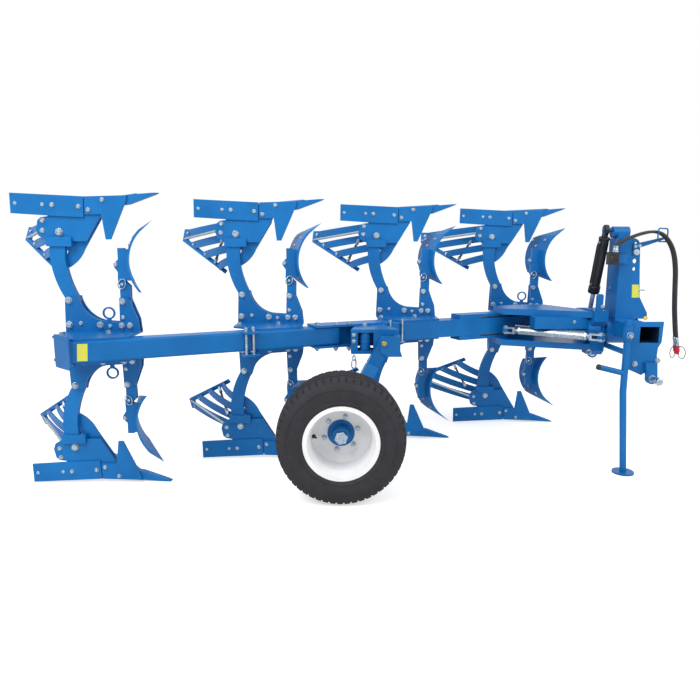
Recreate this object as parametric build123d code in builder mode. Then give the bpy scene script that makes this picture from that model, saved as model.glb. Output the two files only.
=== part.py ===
"""Four-furrow reversible mouldboard plough, parked on its lower bodies, wheel and stand.

Millimetres. +X is the way the plough travels, +Y its left and +Z up, with the floor at z 0.
Bodies are numbered from the front. Each has an upper and a lower half, mirrored in the height
of the turnover axis, so their outlines are written as (x, h): x from the share's tip and h the
distance from that axis, for both halves.
"""

import math
import os

from build123d import *

os.makedirs("parts", exist_ok=True)

# Layout
AXIS_Z = 878.0
AXIS_Y = -132.0
BODY_COUNT = 4
BODY_PITCH = 950.0
FURROW_WIDTH = 430.0
FIRST_TIP_X = 1750.0
FIRST_LAND_Y = AXIS_Y + 650.0
HALVES = (1, -1)
STATIONS = [(FIRST_TIP_X - i * BODY_PITCH, FIRST_LAND_Y - i * FURROW_WIDTH) for i in range(BODY_COUNT)]
SEAT_GAP = 0.3

# Main beam, a square tube laid slantwise under the stations
BEAM_SIZE = 120.0
BEAM_WALL = 10.0
BEAM_CORNER = 14.0
BEAM_X = -370.0
BEAM_BACK = 260.0
BEAM_ANGLE = math.degrees(math.atan2(FURROW_WIDTH, BODY_PITCH))
STATION_STEP = math.hypot(BODY_PITCH, FURROW_WIDTH)
REAR_BEAM_FROM = 1600.0
BEAM_OVERHANG = 106.6
REAR_BEAM_TO = (BODY_COUNT - 1) * STATION_STEP + BEAM_OVERHANG
BEAM_END_TURN = 24.0
FRONT_BEAM_FROM = -60.0
FRONT_BEAM_TO = 1260.0

# Plate thicknesses of the bodies, and where each plate's near face lies from the landside plane
BRACKET_PLATE = 16.0
BRACKET_Y = -8.0
LEG_THICK = 34.0
LEG_Y = BRACKET_Y + BRACKET_PLATE
LAND_PLATE = 12.0
FROG_PLATE = 18.0
POINT_WIDE = 40.0
SHIN_PLATE = 12.0
FROG_Y = LAND_PLATE
FROG_FAR_Y = LEG_Y + LEG_THICK
FLANGE = 12.0
FLANGE_H = BEAM_SIZE / 2
BRACKET_FOOT_H = FLANGE_H + FLANGE

# Leg
LEG_TOP_H = 570.0
LEG_STRAIGHT = 63.0
LEG_BEND_H = 266.0
CLAMP_HIGH = 55.0
CLAMP_TOP_H = LEG_TOP_H + CLAMP_HIGH

# Depth wheel
TYRE_DIAMETER = 750.0
TYRE_WIDTH = 320.0
WHEEL_BACK = 1791.0
WHEEL_OUT = 881.0
WHEEL_X = FIRST_TIP_X - WHEEL_BACK
WHEEL_Y = AXIS_Y - WHEEL_OUT
WHEEL_Z = TYRE_DIAMETER / 2
ARM_PIVOT_BACK = 1518.0
ARM_PIVOT_OUT = 500.0
ARM_PIVOT_X = FIRST_TIP_X - ARM_PIVOT_BACK
ARM_PIVOT_Y = AXIS_Y - ARM_PIVOT_OUT
ARM_PIVOT_Z = AXIS_Z - 33.0
ARM_TUBE = 80.0

# Headstock
HEAD_X = FIRST_TIP_X
PLATE_SPREAD = 430.0
HITCH_PLATE = 20.0
TUBE_WIDE = 140.0
TUBE_HIGH = 120.0
TUBE_WALL = 8.0
TUBE_X = HEAD_X + 183.0
TUBE_Z = AXIS_Z + 28.0
LINK_PIN_RADIUS = 18.3
LINK_PIN_FREE = 90.0
LINK_PIN_X = HEAD_X + 211.0
LINK_PIN_Z = AXIS_Z - 253.0
TOP_PIN_RADIUS = 15.9
TOP_PIN_X = HEAD_X + 224.0
TOP_PIN_Z = AXIS_Z + 546.0
TOP_HOLE_H = 486.0
SPARE_HOLE_RADIUS = 13.0
SHAFT_RADIUS = 47.0
SHAFT_CLEARANCE = 0.05
HOUSING_RADIUS = 95.0
HOUSING_HALF = 100.0

# Turnover cylinder, hung from a boss that stands on the mast's top
MAST_TOP_H = 640.0
CYL_ABOVE_MAST = 56.0
CYL_X = HEAD_X + 47.0
CYL_TOP_Z = AXIS_Z + MAST_TOP_H + CYL_ABOVE_MAST
LUG_Y = 190.0
LUG_H = 60.0
EYE_THICK = 28.0
EYE_RADIUS = 30.0
EYE_BORE = 14.2
BARREL_RADIUS = 35.0
BARREL_LENGTH = 465.0
ROD_RADIUS = 17.0

# Stand
STAND_X = HEAD_X + 17.0
STAND_Y = AXIS_Y - 501.0
STAND_TOP_Z = AXIS_Z + 126.0
STAND_BEND_Z = AXIS_Z - 329.0
STAND_RADIUS = 21.0
STAND_FOOT_X = HEAD_X + 60.0
STAND_FOOT_RADIUS = 68.0
STAND_FOOT_THICK = 12.0
SLEEVE_FOOT = 0.0
SLEEVE_HIGH = 90.0


def save(piece, name):
    """Label a finished piece and write its file."""
    piece.part.label = name
    export_step(piece.part, f"parts/{name}.step")


def side_plane(x, y):
    """A plane seen from the landside: its own x is +X, its own y is +Z and it faces -Y."""
    return Plane(origin=(x, y, AXIS_Z), x_dir=(1, 0, 0), z_dir=(0, -1, 0))


def upright(points, x, near_y, thick, half):
    """A plate standing along the travel, from its corners as (x, h) and its near face's y."""
    with BuildPart() as piece:
        with BuildSketch(side_plane(x, near_y + thick)):
            with BuildLine():
                Polyline([(px, half * h) for px, h in points], close=True)
            make_face()
        extrude(amount=thick)
    return piece.part


def level(points, z, thick):
    """A flat horizontal plate from its corners as (x, y), its underside's z and thickness."""
    with BuildPart() as piece:
        with BuildSketch(Plane.XY.offset(z)):
            with BuildLine():
                Polyline(points, close=True)
            make_face()
        extrude(amount=thick)
    return piece.part


def round_along_y(x, y, z, radius, length):
    """A round bar from y towards +Y."""
    with BuildPart() as piece:
        with BuildSketch(Plane(origin=(x, y, z), x_dir=(1, 0, 0), z_dir=(0, 1, 0))):
            Circle(radius)
        extrude(amount=length)
    return piece.part


def round_along_x(x, y, z, radius, length):
    """A round bar from x towards +X."""
    with BuildPart() as piece:
        with BuildSketch(Plane(origin=(x, y, z), x_dir=(0, 1, 0), z_dir=(1, 0, 0))):
            Circle(radius)
        extrude(amount=length)
    return piece.part


def round_upright(x, y, z, radius, length):
    """A round bar from z upwards."""
    with BuildPart() as piece:
        with BuildSketch(Plane(origin=(x, y, z))):
            Circle(radius)
        extrude(amount=length)
    return piece.part


def beam_point(along, across=0.0):
    """The (x, y) of a point on the beam: along it rearwards from station 1, across to +Y."""
    angle = math.radians(BEAM_ANGLE)
    x = FIRST_TIP_X + BEAM_X - along * math.cos(angle) - across * math.sin(angle)
    y = FIRST_LAND_Y - BEAM_BACK - along * math.sin(angle) + across * math.cos(angle)
    return x, y


def beam_plane(along):
    """The cross plane of the beam, facing rearwards along it."""
    angle = math.radians(BEAM_ANGLE)
    x, y = beam_point(along)
    away = (-math.cos(angle), -math.sin(angle), 0)
    left = (-math.sin(angle), math.cos(angle), 0)
    return Plane(origin=(x, y, AXIS_Z), x_dir=left, z_dir=away)


def end_plane():
    """The oblique cut at the beam's rear end, facing rearwards and to the landside."""
    angle = math.radians(BEAM_ANGLE + BEAM_END_TURN)
    x, y = beam_point(REAR_BEAM_TO)
    return Plane(origin=(x, y, AXIS_Z), x_dir=(-math.sin(angle), math.cos(angle), 0),
                 z_dir=(-math.cos(angle), -math.sin(angle), 0))


# Rear beam
with BuildPart() as rear_beam:
    with BuildSketch(beam_plane(REAR_BEAM_FROM)):
        RectangleRounded(BEAM_SIZE, BEAM_SIZE, BEAM_CORNER)
        inner = BEAM_SIZE - 2 * BEAM_WALL
        RectangleRounded(inner, inner, BEAM_CORNER / 2, mode=Mode.SUBTRACT)
    extrude(amount=REAR_BEAM_TO - REAR_BEAM_FROM + BEAM_SIZE)
    split(bisect_by=end_plane(), keep=Keep.BOTTOM)
save(rear_beam, "rear_beam")

# End plate over the rear beam's open end
END_PLATE = 10.0
END_PLATE_HIGH = 186.0
END_PLATE_WIDE = 170.0
with BuildPart() as end_plate:
    with BuildSketch(end_plane()):
        RectangleRounded(END_PLATE_WIDE, END_PLATE_HIGH, 14)
    extrude(amount=END_PLATE)
save(end_plate, "beam_end_plate")

# Front beam, deeper at its rear end
with BuildPart() as front_beam:
    with BuildSketch(beam_plane(FRONT_BEAM_FROM)):
        Rectangle(BEAM_SIZE, BEAM_SIZE)
    with BuildSketch(beam_plane(FRONT_BEAM_TO)):
        Rectangle(BEAM_SIZE, BEAM_SIZE)
    loft()
save(front_beam, "front_beam")

# Splice between the two beams: a core, and a long plate above and below
SPLICE_PLATE = 14.0
SPLICE_FROM = 1215.0
SPLICE_TO = 1770.0
SPLICE_WIDE = 150.0
with BuildPart() as splice:
    with BuildSketch(beam_plane(FRONT_BEAM_TO)):
        Rectangle(40, BEAM_SIZE)
    extrude(amount=REAR_BEAM_FROM - FRONT_BEAM_TO)
    corners = [
        beam_point(SPLICE_FROM, -SPLICE_WIDE / 2),
        beam_point(SPLICE_FROM, SPLICE_WIDE / 2),
        beam_point(SPLICE_TO, SPLICE_WIDE / 2),
        beam_point(SPLICE_TO, -SPLICE_WIDE / 2),
    ]
    add(level(corners, AXIS_Z + BEAM_SIZE / 2, SPLICE_PLATE))
    add(level(corners, AXIS_Z - BEAM_SIZE / 2 - SPLICE_PLATE, SPLICE_PLATE))
save(splice, "splice")


def bracket(x, y, half):
    """Two plates that hold leg and skimmer, on a foot that is bolted to the station's flange."""
    with BuildPart() as piece:
        plane_y = y + BRACKET_Y
        for near_y in (plane_y, plane_y + BRACKET_PLATE + LEG_THICK):
            with BuildSketch(side_plane(x, near_y + BRACKET_PLATE)):
                with BuildLine():
                    Polyline((-350, half * 134), (-254, half * 127), (-250, half * 271), (-196, half * 274),
                             (-147, half * 145), (-140, half * BRACKET_FOOT_H),
                             (-575, half * BRACKET_FOOT_H), (-568, half * 262), (-492, half * 284))
                    ThreePointArc((-492, half * 284), (-440, half * 183), (-350, half * 134))
                make_face()
            extrude(amount=BRACKET_PLATE)
    return piece.part


def leg(x, y, half):
    """The curved flat shank between bracket and frog."""
    with BuildPart() as piece:
        with BuildSketch(side_plane(x, y + LEG_Y + LEG_THICK)):
            with BuildLine():
                straight_h = LEG_TOP_H - LEG_STRAIGHT
                middle_h = (straight_h + LEG_BEND_H) / 2
                Line((-641, half * LEG_TOP_H), (-642, half * straight_h))
                ThreePointArc((-642, half * straight_h), (-622, half * middle_h), (-570, half * LEG_BEND_H))
                Polyline((-570, half * LEG_BEND_H), (-560, half * 90), (-466, half * 90),
                         (-488, half * LEG_BEND_H))
                ThreePointArc((-488, half * LEG_BEND_H), (-537, half * middle_h), (-556, half * straight_h))
                Polyline((-556, half * straight_h), (-551, half * LEG_TOP_H), (-641, half * LEG_TOP_H))
            make_face()
        extrude(amount=LEG_THICK)
    return piece.part


def frog(x, y, half):
    """The plate that landslide, share and mouldboard are bolted to, with its clamp on the leg."""
    with BuildPart() as piece:
        low = LEG_TOP_H + 30
        outline = [(-650, low), (-700, low + 30), (-712, low + 64), (-700, low + 120), (-680, low + 136),
                   (-640, low + 142), (-640, low + 245), (-300, low + 245), (-340, low + 140), (-428, low)]
        add(upright(outline, x, y + FROG_Y, FROG_PLATE, half))
        clamp = [(-653, LEG_TOP_H), (-653, CLAMP_TOP_H), (-509, CLAMP_TOP_H), (-509, LEG_TOP_H)]
        add(upright(clamp, x, y - 4, FROG_FAR_Y + 4, half))
        block_top = CLAMP_TOP_H + 95
        block = [(-645, CLAMP_TOP_H), (-645, block_top), (-515, block_top), (-515, CLAMP_TOP_H)]
        add(upright(block, x, y + FROG_Y, FROG_FAR_Y - FROG_Y, half))
    return piece.part


def landslide(x, y, half):
    """The long bar that slides along the furrow wall."""
    with BuildPart() as piece:
        outline = [(-842, 872), (-424, 854), (-430, 737), (-632, 745), (-844, 757)]
        add(upright(outline, x, y, LAND_PLATE, half))
    return piece.part


def share_carrier(x, y, half):
    """The front plate with its upright knife, and the chisel point."""
    with BuildPart() as piece:
        outline = [(-419, 854), (-203, 861), (-177, 864), (-185, 826), (-281, 611), (-310, 611),
                   (-328, 754), (-423, 753)]
        add(upright(outline, x, y, LAND_PLATE, half))
    return piece.part


def point(x, y, half):
    """The chisel point, under the front plate's nose."""
    with BuildPart() as piece:
        add(upright([(-260, 850), (-176, 866), (-30, 878), (0, 878), (-20, 868), (-170, 812), (-260, 800)],
                x, y + LAND_PLATE, POINT_WIDE, half))
    return piece.part


SHARE_REACH = 358.0
SHARE_SWEEP = 280.0


def share(x, y, half):
    """The share blade, rising rearwards from its cutting edge, and swept back to the wing."""
    with BuildPart() as piece:
        near_y = y + LAND_PLATE + POINT_WIDE
        with BuildSketch(side_plane(x, near_y)):
            with BuildLine():
                Polyline((-120, half * 873), (-262, half * 806), (-268, half * 817), (-140, half * 877),
                         close=True)
            make_face()
        extrude(amount=math.hypot(SHARE_SWEEP, SHARE_REACH), dir=(-SHARE_SWEEP, SHARE_REACH, 0))
    return piece.part


def shin(x, y, half):
    """The front strip of the mouldboard."""
    with BuildPart() as piece:
        with BuildSketch(side_plane(x, y + FROG_FAR_Y + SHIN_PLATE)):
            with BuildLine():
                Polyline((-443, half * 790), (-345, half * 790), (-345, half * 727), (-451, half * 554))
                ThreePointArc((-451, half * 554), (-505, half * 478), (-574, half * 435))
                ThreePointArc((-574, half * 435), (-530, half * 600), (-443, half * 790))
            make_face()
        extrude(amount=SHIN_PLATE)
    return piece.part


# Stay bar: its outline as x and h; it lies on a slanting face through three points (x, y, h)
STAY_FACE = [(-709, 285, 384), (-1070, 600, 607), (-1058, 640, 686)]
STAY_BAR = [(-1070, 607), (-1062, 694), (-1014, 694), (-1024, 618), (-693, 408), (-709, 384)]
STAY_BAR_THICK = 12.0

# Slats: where each leaves the shin and where it meets the stay bar, as x and h
SLATS = [
    {"front_x": -428, "front_h": 742, "rear_x": -1040, "rear_h": 661},
    {"front_x": -462, "front_h": 664, "rear_x": -983, "rear_h": 574},
    {"front_x": -500, "front_h": 586, "rear_x": -874, "rear_h": 506},
    {"front_x": -535, "front_h": 506, "rear_x": -752, "rear_h": 428},
]
SLAT_WIDE = 54.0
SLAT_THICK = 8.0
SLAT_BOW = 36.0
SLAT_FRONT_Y = FROG_FAR_Y + SHIN_PLATE
SLAT_SPARE = 70.0


def stay_plane(x, y, half):
    """The slanting face on which the slats end, facing away from the landside."""
    low, high, tail = [Vector(x + px, y + py, AXIS_Z + half * h) for px, py, h in STAY_FACE]
    facing = (high - low).cross(tail - low)
    return Plane(origin=low, x_dir=high - low, z_dir=facing if facing.Y > 0 else -facing)


def stay_point(x, y, half, px, h):
    """The point of the slanting face that lies at (x, h)."""
    face = stay_plane(x, y, half)
    from_low = Vector(x + px, y, AXIS_Z + half * h) - face.origin
    facing = face.z_dir
    reach = -(from_low.X * facing.X + from_low.Z * facing.Z) / facing.Y
    return Vector(x + px, face.origin.Y + reach, AXIS_Z + half * h)


def slat(x, y, half, row):
    """A bowed strip of the mouldboard, cut flush with the shin and with the stay bar."""
    with BuildPart() as piece:
        start = Vector(x + row["front_x"], y + SLAT_FRONT_Y, AXIS_Z + half * row["front_h"])
        end = stay_point(x, y, half, row["rear_x"], row["rear_h"])
        run = end - start
        unit = run.normalized()
        sideways = Vector(unit.Y, -unit.X, 0).normalized()
        plane = Plane(origin=start, x_dir=run, z_dir=run.cross(sideways))
        out = 1 if plane.y_dir.dot(sideways) > 0 else -1
        length = run.length
        with BuildSketch(plane):
            with BuildLine():
                inner = ThreePointArc((-SLAT_SPARE, out * 20), (length / 2, -out * SLAT_BOW),
                                      (length + SLAT_SPARE, out * 20))
                outer = ThreePointArc((-SLAT_SPARE, out * (20 + SLAT_THICK)),
                                      (length / 2, out * (SLAT_THICK - SLAT_BOW)),
                                      (length + SLAT_SPARE, out * (20 + SLAT_THICK)))
                Line(inner @ 0, outer @ 0)
                Line(inner @ 1, outer @ 1)
            make_face()
        extrude(amount=SLAT_WIDE / 2, both=True)
        split(bisect_by=Plane(origin=(x, y + SLAT_FRONT_Y, AXIS_Z), z_dir=(0, 1, 0)), keep=Keep.TOP)
        split(bisect_by=stay_plane(x, y, half), keep=Keep.BOTTOM)
    return piece.part


def slats(x, y, half):
    """The four slats of one mouldboard."""
    with BuildPart() as piece:
        for row in SLATS:
            add(slat(x, y, half, row))
    return piece.part


def stay_bar(x, y, half):
    """The flat bar on which the slats' rear ends are bolted."""
    face = stay_plane(x, y, half)
    corners = [face.to_local_coords(stay_point(x, y, half, px, h)) for px, h in STAY_BAR]
    with BuildPart() as piece:
        with BuildSketch(face):
            with BuildLine():
                Polyline([(corner.X, corner.Y) for corner in corners], close=True)
            make_face()
        extrude(amount=STAY_BAR_THICK)
    return piece.part


# Screw stay: from the frog to the stay bar, as x and h at each end
STAY_FROG = (-632, 690)
STAY_END = (-1045, 624)
STAY_RADIUS = 9.0


def screw_stay(x, y, half):
    """A threaded rod between frog and stay bar, cut flush with both."""
    with BuildPart() as piece:
        start = Vector(x + STAY_FROG[0], y + FROG_FAR_Y, AXIS_Z + half * STAY_FROG[1])
        end = stay_point(x, y, half, STAY_END[0], STAY_END[1])
        unit = (end - start).normalized()
        with BuildSketch(Plane(origin=start - unit * 30, z_dir=unit)):
            Circle(STAY_RADIUS)
        extrude(amount=(end - start).length + 60)
        split(bisect_by=Plane(origin=(x, y + FROG_FAR_Y, AXIS_Z), z_dir=(0, 1, 0)), keep=Keep.TOP)
        split(bisect_by=stay_plane(x, y, half), keep=Keep.BOTTOM)
    return piece.part


SKIMMER_SEAT_X = -212.0


def skimmer_shank(x, y, half):
    """The upright that carries the skimmer, held in the bracket."""
    with BuildPart() as piece:
        outline = [(-250, 562), (SKIMMER_SEAT_X, 562), (SKIMMER_SEAT_X, 366), (-186, 342), (-190, 100),
                   (-248, 100), (-248, 342), (-257, 369), (-255, 422), (-277, 456), (-276, 472), (-250, 496)]
        add(upright(outline, x, y + LEG_Y, LEG_THICK, half))
    return piece.part


# Skimmer: a curved board laid aslant, so that its far edge trails its near edge
SKIMMER_NEAR_Y = -60.0
SKIMMER_LONG = 252.0
SKIMMER_TURN = 17.5


def skimmer(x, y, half):
    """The small hollow board that lifts the trash off ahead of the body."""
    slope = math.radians(SKIMMER_TURN)
    away = Vector(-math.sin(slope), math.cos(slope), 0)
    with BuildPart() as piece:
        with BuildSketch(side_plane(x, y + SKIMMER_NEAR_Y)):
            with BuildLine():
                ThreePointArc((-91, half * 300), (-165, half * 484), (-89, half * 661))
                Polyline((-89, half * 661), (-18, half * 722), (-101, half * 667))
                ThreePointArc((-101, half * 667), (-177, half * 484), (-103, half * 296))
                Line((-103, half * 296), (-91, half * 300))
            make_face()
        extrude(amount=SKIMMER_LONG, dir=away)
        share_cut = Plane(origin=(x, y + SKIMMER_NEAR_Y, AXIS_Z + half * 724), z_dir=(0, 0.3, half))
        split(bisect_by=share_cut, keep=Keep.BOTTOM)
        inner_cut = Plane(origin=(x, y + SKIMMER_NEAR_Y, AXIS_Z + half * 308), z_dir=(0, -0.24, half))
        split(bisect_by=inner_cut, keep=Keep.TOP)
        with BuildSketch(side_plane(x, y + LEG_Y + LEG_THICK)):
            with BuildLine():
                Line((SKIMMER_SEAT_X, half * 372), (-168, half * 372))
                ThreePointArc((-168, half * 372), (-198, half * 484), (-188, half * 556))
                Polyline((-188, half * 556), (SKIMMER_SEAT_X, half * 556), (SKIMMER_SEAT_X, half * 372))
            make_face()
        extrude(amount=LEG_THICK)
    return piece.part


def station_flange(x, y, half):
    """The level plate that ties a bracket to the beam."""
    with BuildPart() as piece:
        slope = FURROW_WIDTH / BODY_PITCH
        near = [y - BEAM_BACK + slope * (px - BEAM_X) - 45 for px in (-400, -140)]
        corners = [(x - 575, y + 58), (x - 140, y + 58), (x - 140, near[1]), (x - 400, near[0]),
                   (x - 575, y - 190)]
        z = AXIS_Z + FLANGE_H if half > 0 else AXIS_Z - FLANGE_H - FLANGE
        add(level(corners, z, FLANGE))
    return piece.part


RING_X = -318.0


def lifting_ring(x, y, half):
    """A ring on the bracket's edge, for the hook of a crane."""
    with BuildPart() as piece:
        with BuildSketch(side_plane(x, y + 8)):
            with Locations((RING_X, half * 181)):
                Circle(37)
                Circle(27, mode=Mode.SUBTRACT)
            with Locations((RING_X, half * 139.6)):
                Rectangle(24, 14)
        extrude(amount=12)
    return piece.part


def on_every_body(make, name):
    """Save one node that holds the same piece on the upper and lower half of every body."""
    with BuildPart() as piece:
        for half in HALVES:
            for x, y in STATIONS:
                add(make(x, y, half))
    save(piece, name)


on_every_body(bracket, "brackets")
on_every_body(station_flange, "station_flanges")
on_every_body(leg, "legs")
on_every_body(frog, "frogs")
on_every_body(landslide, "landslides")
on_every_body(share_carrier, "share_carriers")
on_every_body(point, "points")
on_every_body(share, "shares")
on_every_body(shin, "shins")
on_every_body(slats, "slats")
on_every_body(stay_bar, "stay_bars")
on_every_body(screw_stay, "screw_stays")
on_every_body(skimmer_shank, "skimmer_shanks")
on_every_body(skimmer, "skimmers")

with BuildPart() as rings:
    for i in (0, 3):
        for half in HALVES:
            add(lifting_ring(*STATIONS[i], half))
save(rings, "lifting_rings")

# Turning head: a hub on the turnover shaft, a block above and below it, and the cylinder's lug
HUB_FRONT = HEAD_X + 60.0
HUB_LONG = 120.0
HUB_RADIUS = 92.0
NOSE_RADIUS = 70.0
NOSE_LONG = 36.0
BLOCK_FROM = HEAD_X - 40.0
BLOCK_TO = HEAD_X + 58.0
BLOCK_TOP_H = 146.0
BLOCK_LOW_H = 172.0
LUG_PIN_TO = CYL_X - EYE_THICK / 2 - 5 - HEAD_X
with BuildPart() as turning_head:
    add(round_along_x(HUB_FRONT - HUB_LONG, AXIS_Y, AXIS_Z, NOSE_RADIUS, HUB_LONG))
    add(round_along_x(HUB_FRONT - HUB_LONG, AXIS_Y, AXIS_Z, HUB_RADIUS, HUB_LONG - NOSE_LONG))
    with BuildSketch(Plane(origin=(BLOCK_FROM, AXIS_Y, AXIS_Z), x_dir=(0, 1, 0), z_dir=(1, 0, 0))):
        with BuildLine():
            Polyline((-120, 70), (-120, BLOCK_TOP_H), (90, BLOCK_TOP_H), (90, 46), (70, 20), (70, -50),
                     (80, -95), (80, -140), (50, -BLOCK_LOW_H), (-50, -BLOCK_LOW_H), (-84, -140), (-84, -60),
                     (-50, 0), close=True)
        make_face()
    extrude(amount=BLOCK_TO - BLOCK_FROM)
    with BuildSketch(Plane(origin=(HEAD_X - 28, AXIS_Y, AXIS_Z), x_dir=(0, 1, 0), z_dir=(1, 0, 0))):
        with Locations((LUG_Y, LUG_H)):
            Circle(EYE_RADIUS)
        with Locations(((LUG_Y + 60) / 2, LUG_H / 2)):
            Rectangle(LUG_Y - 60, 2 * EYE_RADIUS, rotation=math.degrees(math.atan2(LUG_H, LUG_Y)))
    extrude(amount=32)
    add(round_along_x(HEAD_X + 4, AXIS_Y + LUG_Y, AXIS_Z + LUG_H, EYE_BORE - 0.2, LUG_PIN_TO - 4))
    add(upright([(-26, BLOCK_TOP_H), (-26, 250), (-18, 260), (8, 260), (16, 250), (16, BLOCK_TOP_H)],
                HEAD_X, AXIS_Y - 118, 26, 1))
save(turning_head, "turning_head")

with BuildPart() as turnover_shaft:
    add(round_along_x(HUB_FRONT, AXIS_Y, AXIS_Z, SHAFT_RADIUS, 235))
save(turnover_shaft, "turnover_shaft")

# Width frame: an upper and a lower arm from the turning head back over and under the front beam
ARM_LOW_H = HUB_RADIUS
ARM_TOP_H = 136.0
PAD_TO = 640.0


def frame_arm(sign):
    """One arm with its pad along the beam; sign is 1 above the axis and -1 below."""
    with BuildPart() as piece:
        arm = [(BLOCK_FROM, AXIS_Y - 84), (BLOCK_FROM, AXIS_Y + 90), (HEAD_X - 210, AXIS_Y + 430),
               (HEAD_X - 430, AXIS_Y + 400), (HEAD_X - 640, AXIS_Y + 290), (HEAD_X - 610, AXIS_Y + 120)]
        top = ARM_TOP_H - ARM_LOW_H if sign > 0 else 0
        add(level(arm, AXIS_Z + sign * ARM_TOP_H - top, ARM_TOP_H - ARM_LOW_H))
        pad = [beam_point(-50, -58), beam_point(-50, 58), beam_point(PAD_TO, 58), beam_point(PAD_TO, -58)]
        high = ARM_LOW_H - BRACKET_FOOT_H
        add(level(pad, AXIS_Z + BRACKET_FOOT_H if sign > 0 else AXIS_Z - ARM_LOW_H, high))
        foot = [beam_point(PAD_TO - 180, -58), beam_point(PAD_TO - 180, 58), beam_point(PAD_TO, 58),
                beam_point(PAD_TO, -58)]
        add(level(foot, AXIS_Z + FLANGE_H if sign > 0 else AXIS_Z - BRACKET_FOOT_H, FLANGE))
    return piece.part


WEB_HALF = 56.0
WEB_LOW_H = 10.0
with BuildPart() as frame_upper:
    add(frame_arm(1))
    web = [(-430, WEB_LOW_H), (-60, WEB_LOW_H), (-60, ARM_LOW_H), (-430, ARM_LOW_H)]
    add(upright(web, HEAD_X, AXIS_Y - WEB_HALF, 2 * WEB_HALF, 1))
save(frame_upper, "frame_upper_arm")

with BuildPart() as frame_lower:
    add(frame_arm(-1))
save(frame_lower, "frame_lower_arm")

# Frame adjuster: a second, straight spindle from the turning head to the front beam's side
SPINDLE_RADIUS = 17.0
SPINDLE_H = -12.0
with BuildPart() as frame_spindle:
    start = Vector(HUB_FRONT - HUB_LONG, AXIS_Y - 10, AXIS_Z + SPINDLE_H)
    end = Vector(HEAD_X - 470, AXIS_Y + 300, AXIS_Z + SPINDLE_H)
    unit = (end - start).normalized()
    with BuildSketch(Plane(origin=start - unit * 30, z_dir=unit)):
        Circle(SPINDLE_RADIUS)
    extrude(amount=(end - start).length + 60)
    split(bisect_by=Plane(origin=start, z_dir=(1, 0, 0)), keep=Keep.BOTTOM)
    with BuildSketch(beam_plane(-200)):
        Rectangle(BEAM_SIZE, BEAM_SIZE)
    extrude(amount=900, mode=Mode.SUBTRACT)
save(frame_spindle, "frame_spindle")

# Width adjuster: a turnbuckle between an ear on the turning head and an ear on the front beam
ADJUSTER_Z = AXIS_Z - 24.0
ADJUSTER_FRONT = (HEAD_X - 25.0, AXIS_Y - 215.0)
ADJUSTER_REAR = (HEAD_X - 575.0, AXIS_Y + 150.0)
EAR_THICK = 24.0
EAR_RADIUS = 26.0
CLEVIS_THICK = 12.0
CLEVIS_LONG = 74.0
CLEVIS_PIN_RADIUS = 11.0
ADJUSTER_BODY_RADIUS = 28.0
ADJUSTER_ROD_RADIUS = 15.0

with BuildPart() as adjuster_ears:
    for pin_x, pin_y, root_x, root_y in (
        (ADJUSTER_FRONT[0], ADJUSTER_FRONT[1], HEAD_X - 14, AXIS_Y - 60),
        (ADJUSTER_REAR[0], ADJUSTER_REAR[1], HEAD_X - 540, AXIS_Y + 246),
    ):
        with BuildSketch(Plane.XY.offset(ADJUSTER_Z - EAR_THICK / 2)):
            with Locations((pin_x, pin_y)):
                Circle(EAR_RADIUS)
            reach = math.hypot(root_x - pin_x, root_y - pin_y)
            turn = math.degrees(math.atan2(root_y - pin_y, root_x - pin_x))
            with Locations(((pin_x + root_x) / 2, (pin_y + root_y) / 2)):
                Rectangle(reach, 2 * EAR_RADIUS, rotation=turn)
            with Locations((pin_x, pin_y)):
                Circle(CLEVIS_PIN_RADIUS + SHAFT_CLEARANCE, mode=Mode.SUBTRACT)
        extrude(amount=EAR_THICK)
    add(turning_head.part, mode=Mode.SUBTRACT)
    with BuildSketch(beam_plane(-200)):
        Rectangle(BEAM_SIZE, BEAM_SIZE)
    extrude(amount=900, mode=Mode.SUBTRACT)
save(adjuster_ears, "adjuster_ears")

adjuster_run = Vector(ADJUSTER_FRONT[0] - ADJUSTER_REAR[0], ADJUSTER_FRONT[1] - ADJUSTER_REAR[1], 0)
adjuster_unit = adjuster_run.normalized()
adjuster_start = Vector(*ADJUSTER_REAR, ADJUSTER_Z)
with BuildPart() as adjuster:
    with BuildSketch(Plane(origin=adjuster_start + adjuster_unit * CLEVIS_LONG, z_dir=adjuster_unit)):
        Circle(ADJUSTER_ROD_RADIUS)
    extrude(amount=adjuster_run.length - 2 * CLEVIS_LONG)
    with BuildSketch(Plane(origin=adjuster_start + adjuster_unit * 110, z_dir=adjuster_unit)):
        Circle(ADJUSTER_BODY_RADIUS)
    extrude(amount=adjuster_run.length - 220)
    for pin, inward in ((ADJUSTER_REAR, adjuster_unit), (ADJUSTER_FRONT, -adjuster_unit)):
        for low in (ADJUSTER_Z - EAR_THICK / 2 - CLEVIS_THICK, ADJUSTER_Z + EAR_THICK / 2):
            with BuildSketch(Plane(origin=(pin[0], pin[1], low), x_dir=inward, z_dir=(0, 0, 1))):
                Circle(EAR_RADIUS)
                with Locations((CLEVIS_LONG / 2, 0)):
                    Rectangle(CLEVIS_LONG, 2 * EAR_RADIUS)
            extrude(amount=CLEVIS_THICK)
        with BuildSketch(Plane(origin=(pin[0], pin[1], ADJUSTER_Z - EAR_THICK / 2), x_dir=inward,
                               z_dir=(0, 0, 1))):
            with Locations((CLEVIS_LONG - 9, 0)):
                Rectangle(18, 2 * EAR_RADIUS)
        extrude(amount=EAR_THICK)
        add(round_upright(pin[0], pin[1], ADJUSTER_Z - EAR_THICK / 2 - CLEVIS_THICK - 8, CLEVIS_PIN_RADIUS,
                          EAR_THICK + 2 * CLEVIS_THICK + 16))
save(adjuster, "width_adjuster")

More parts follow.
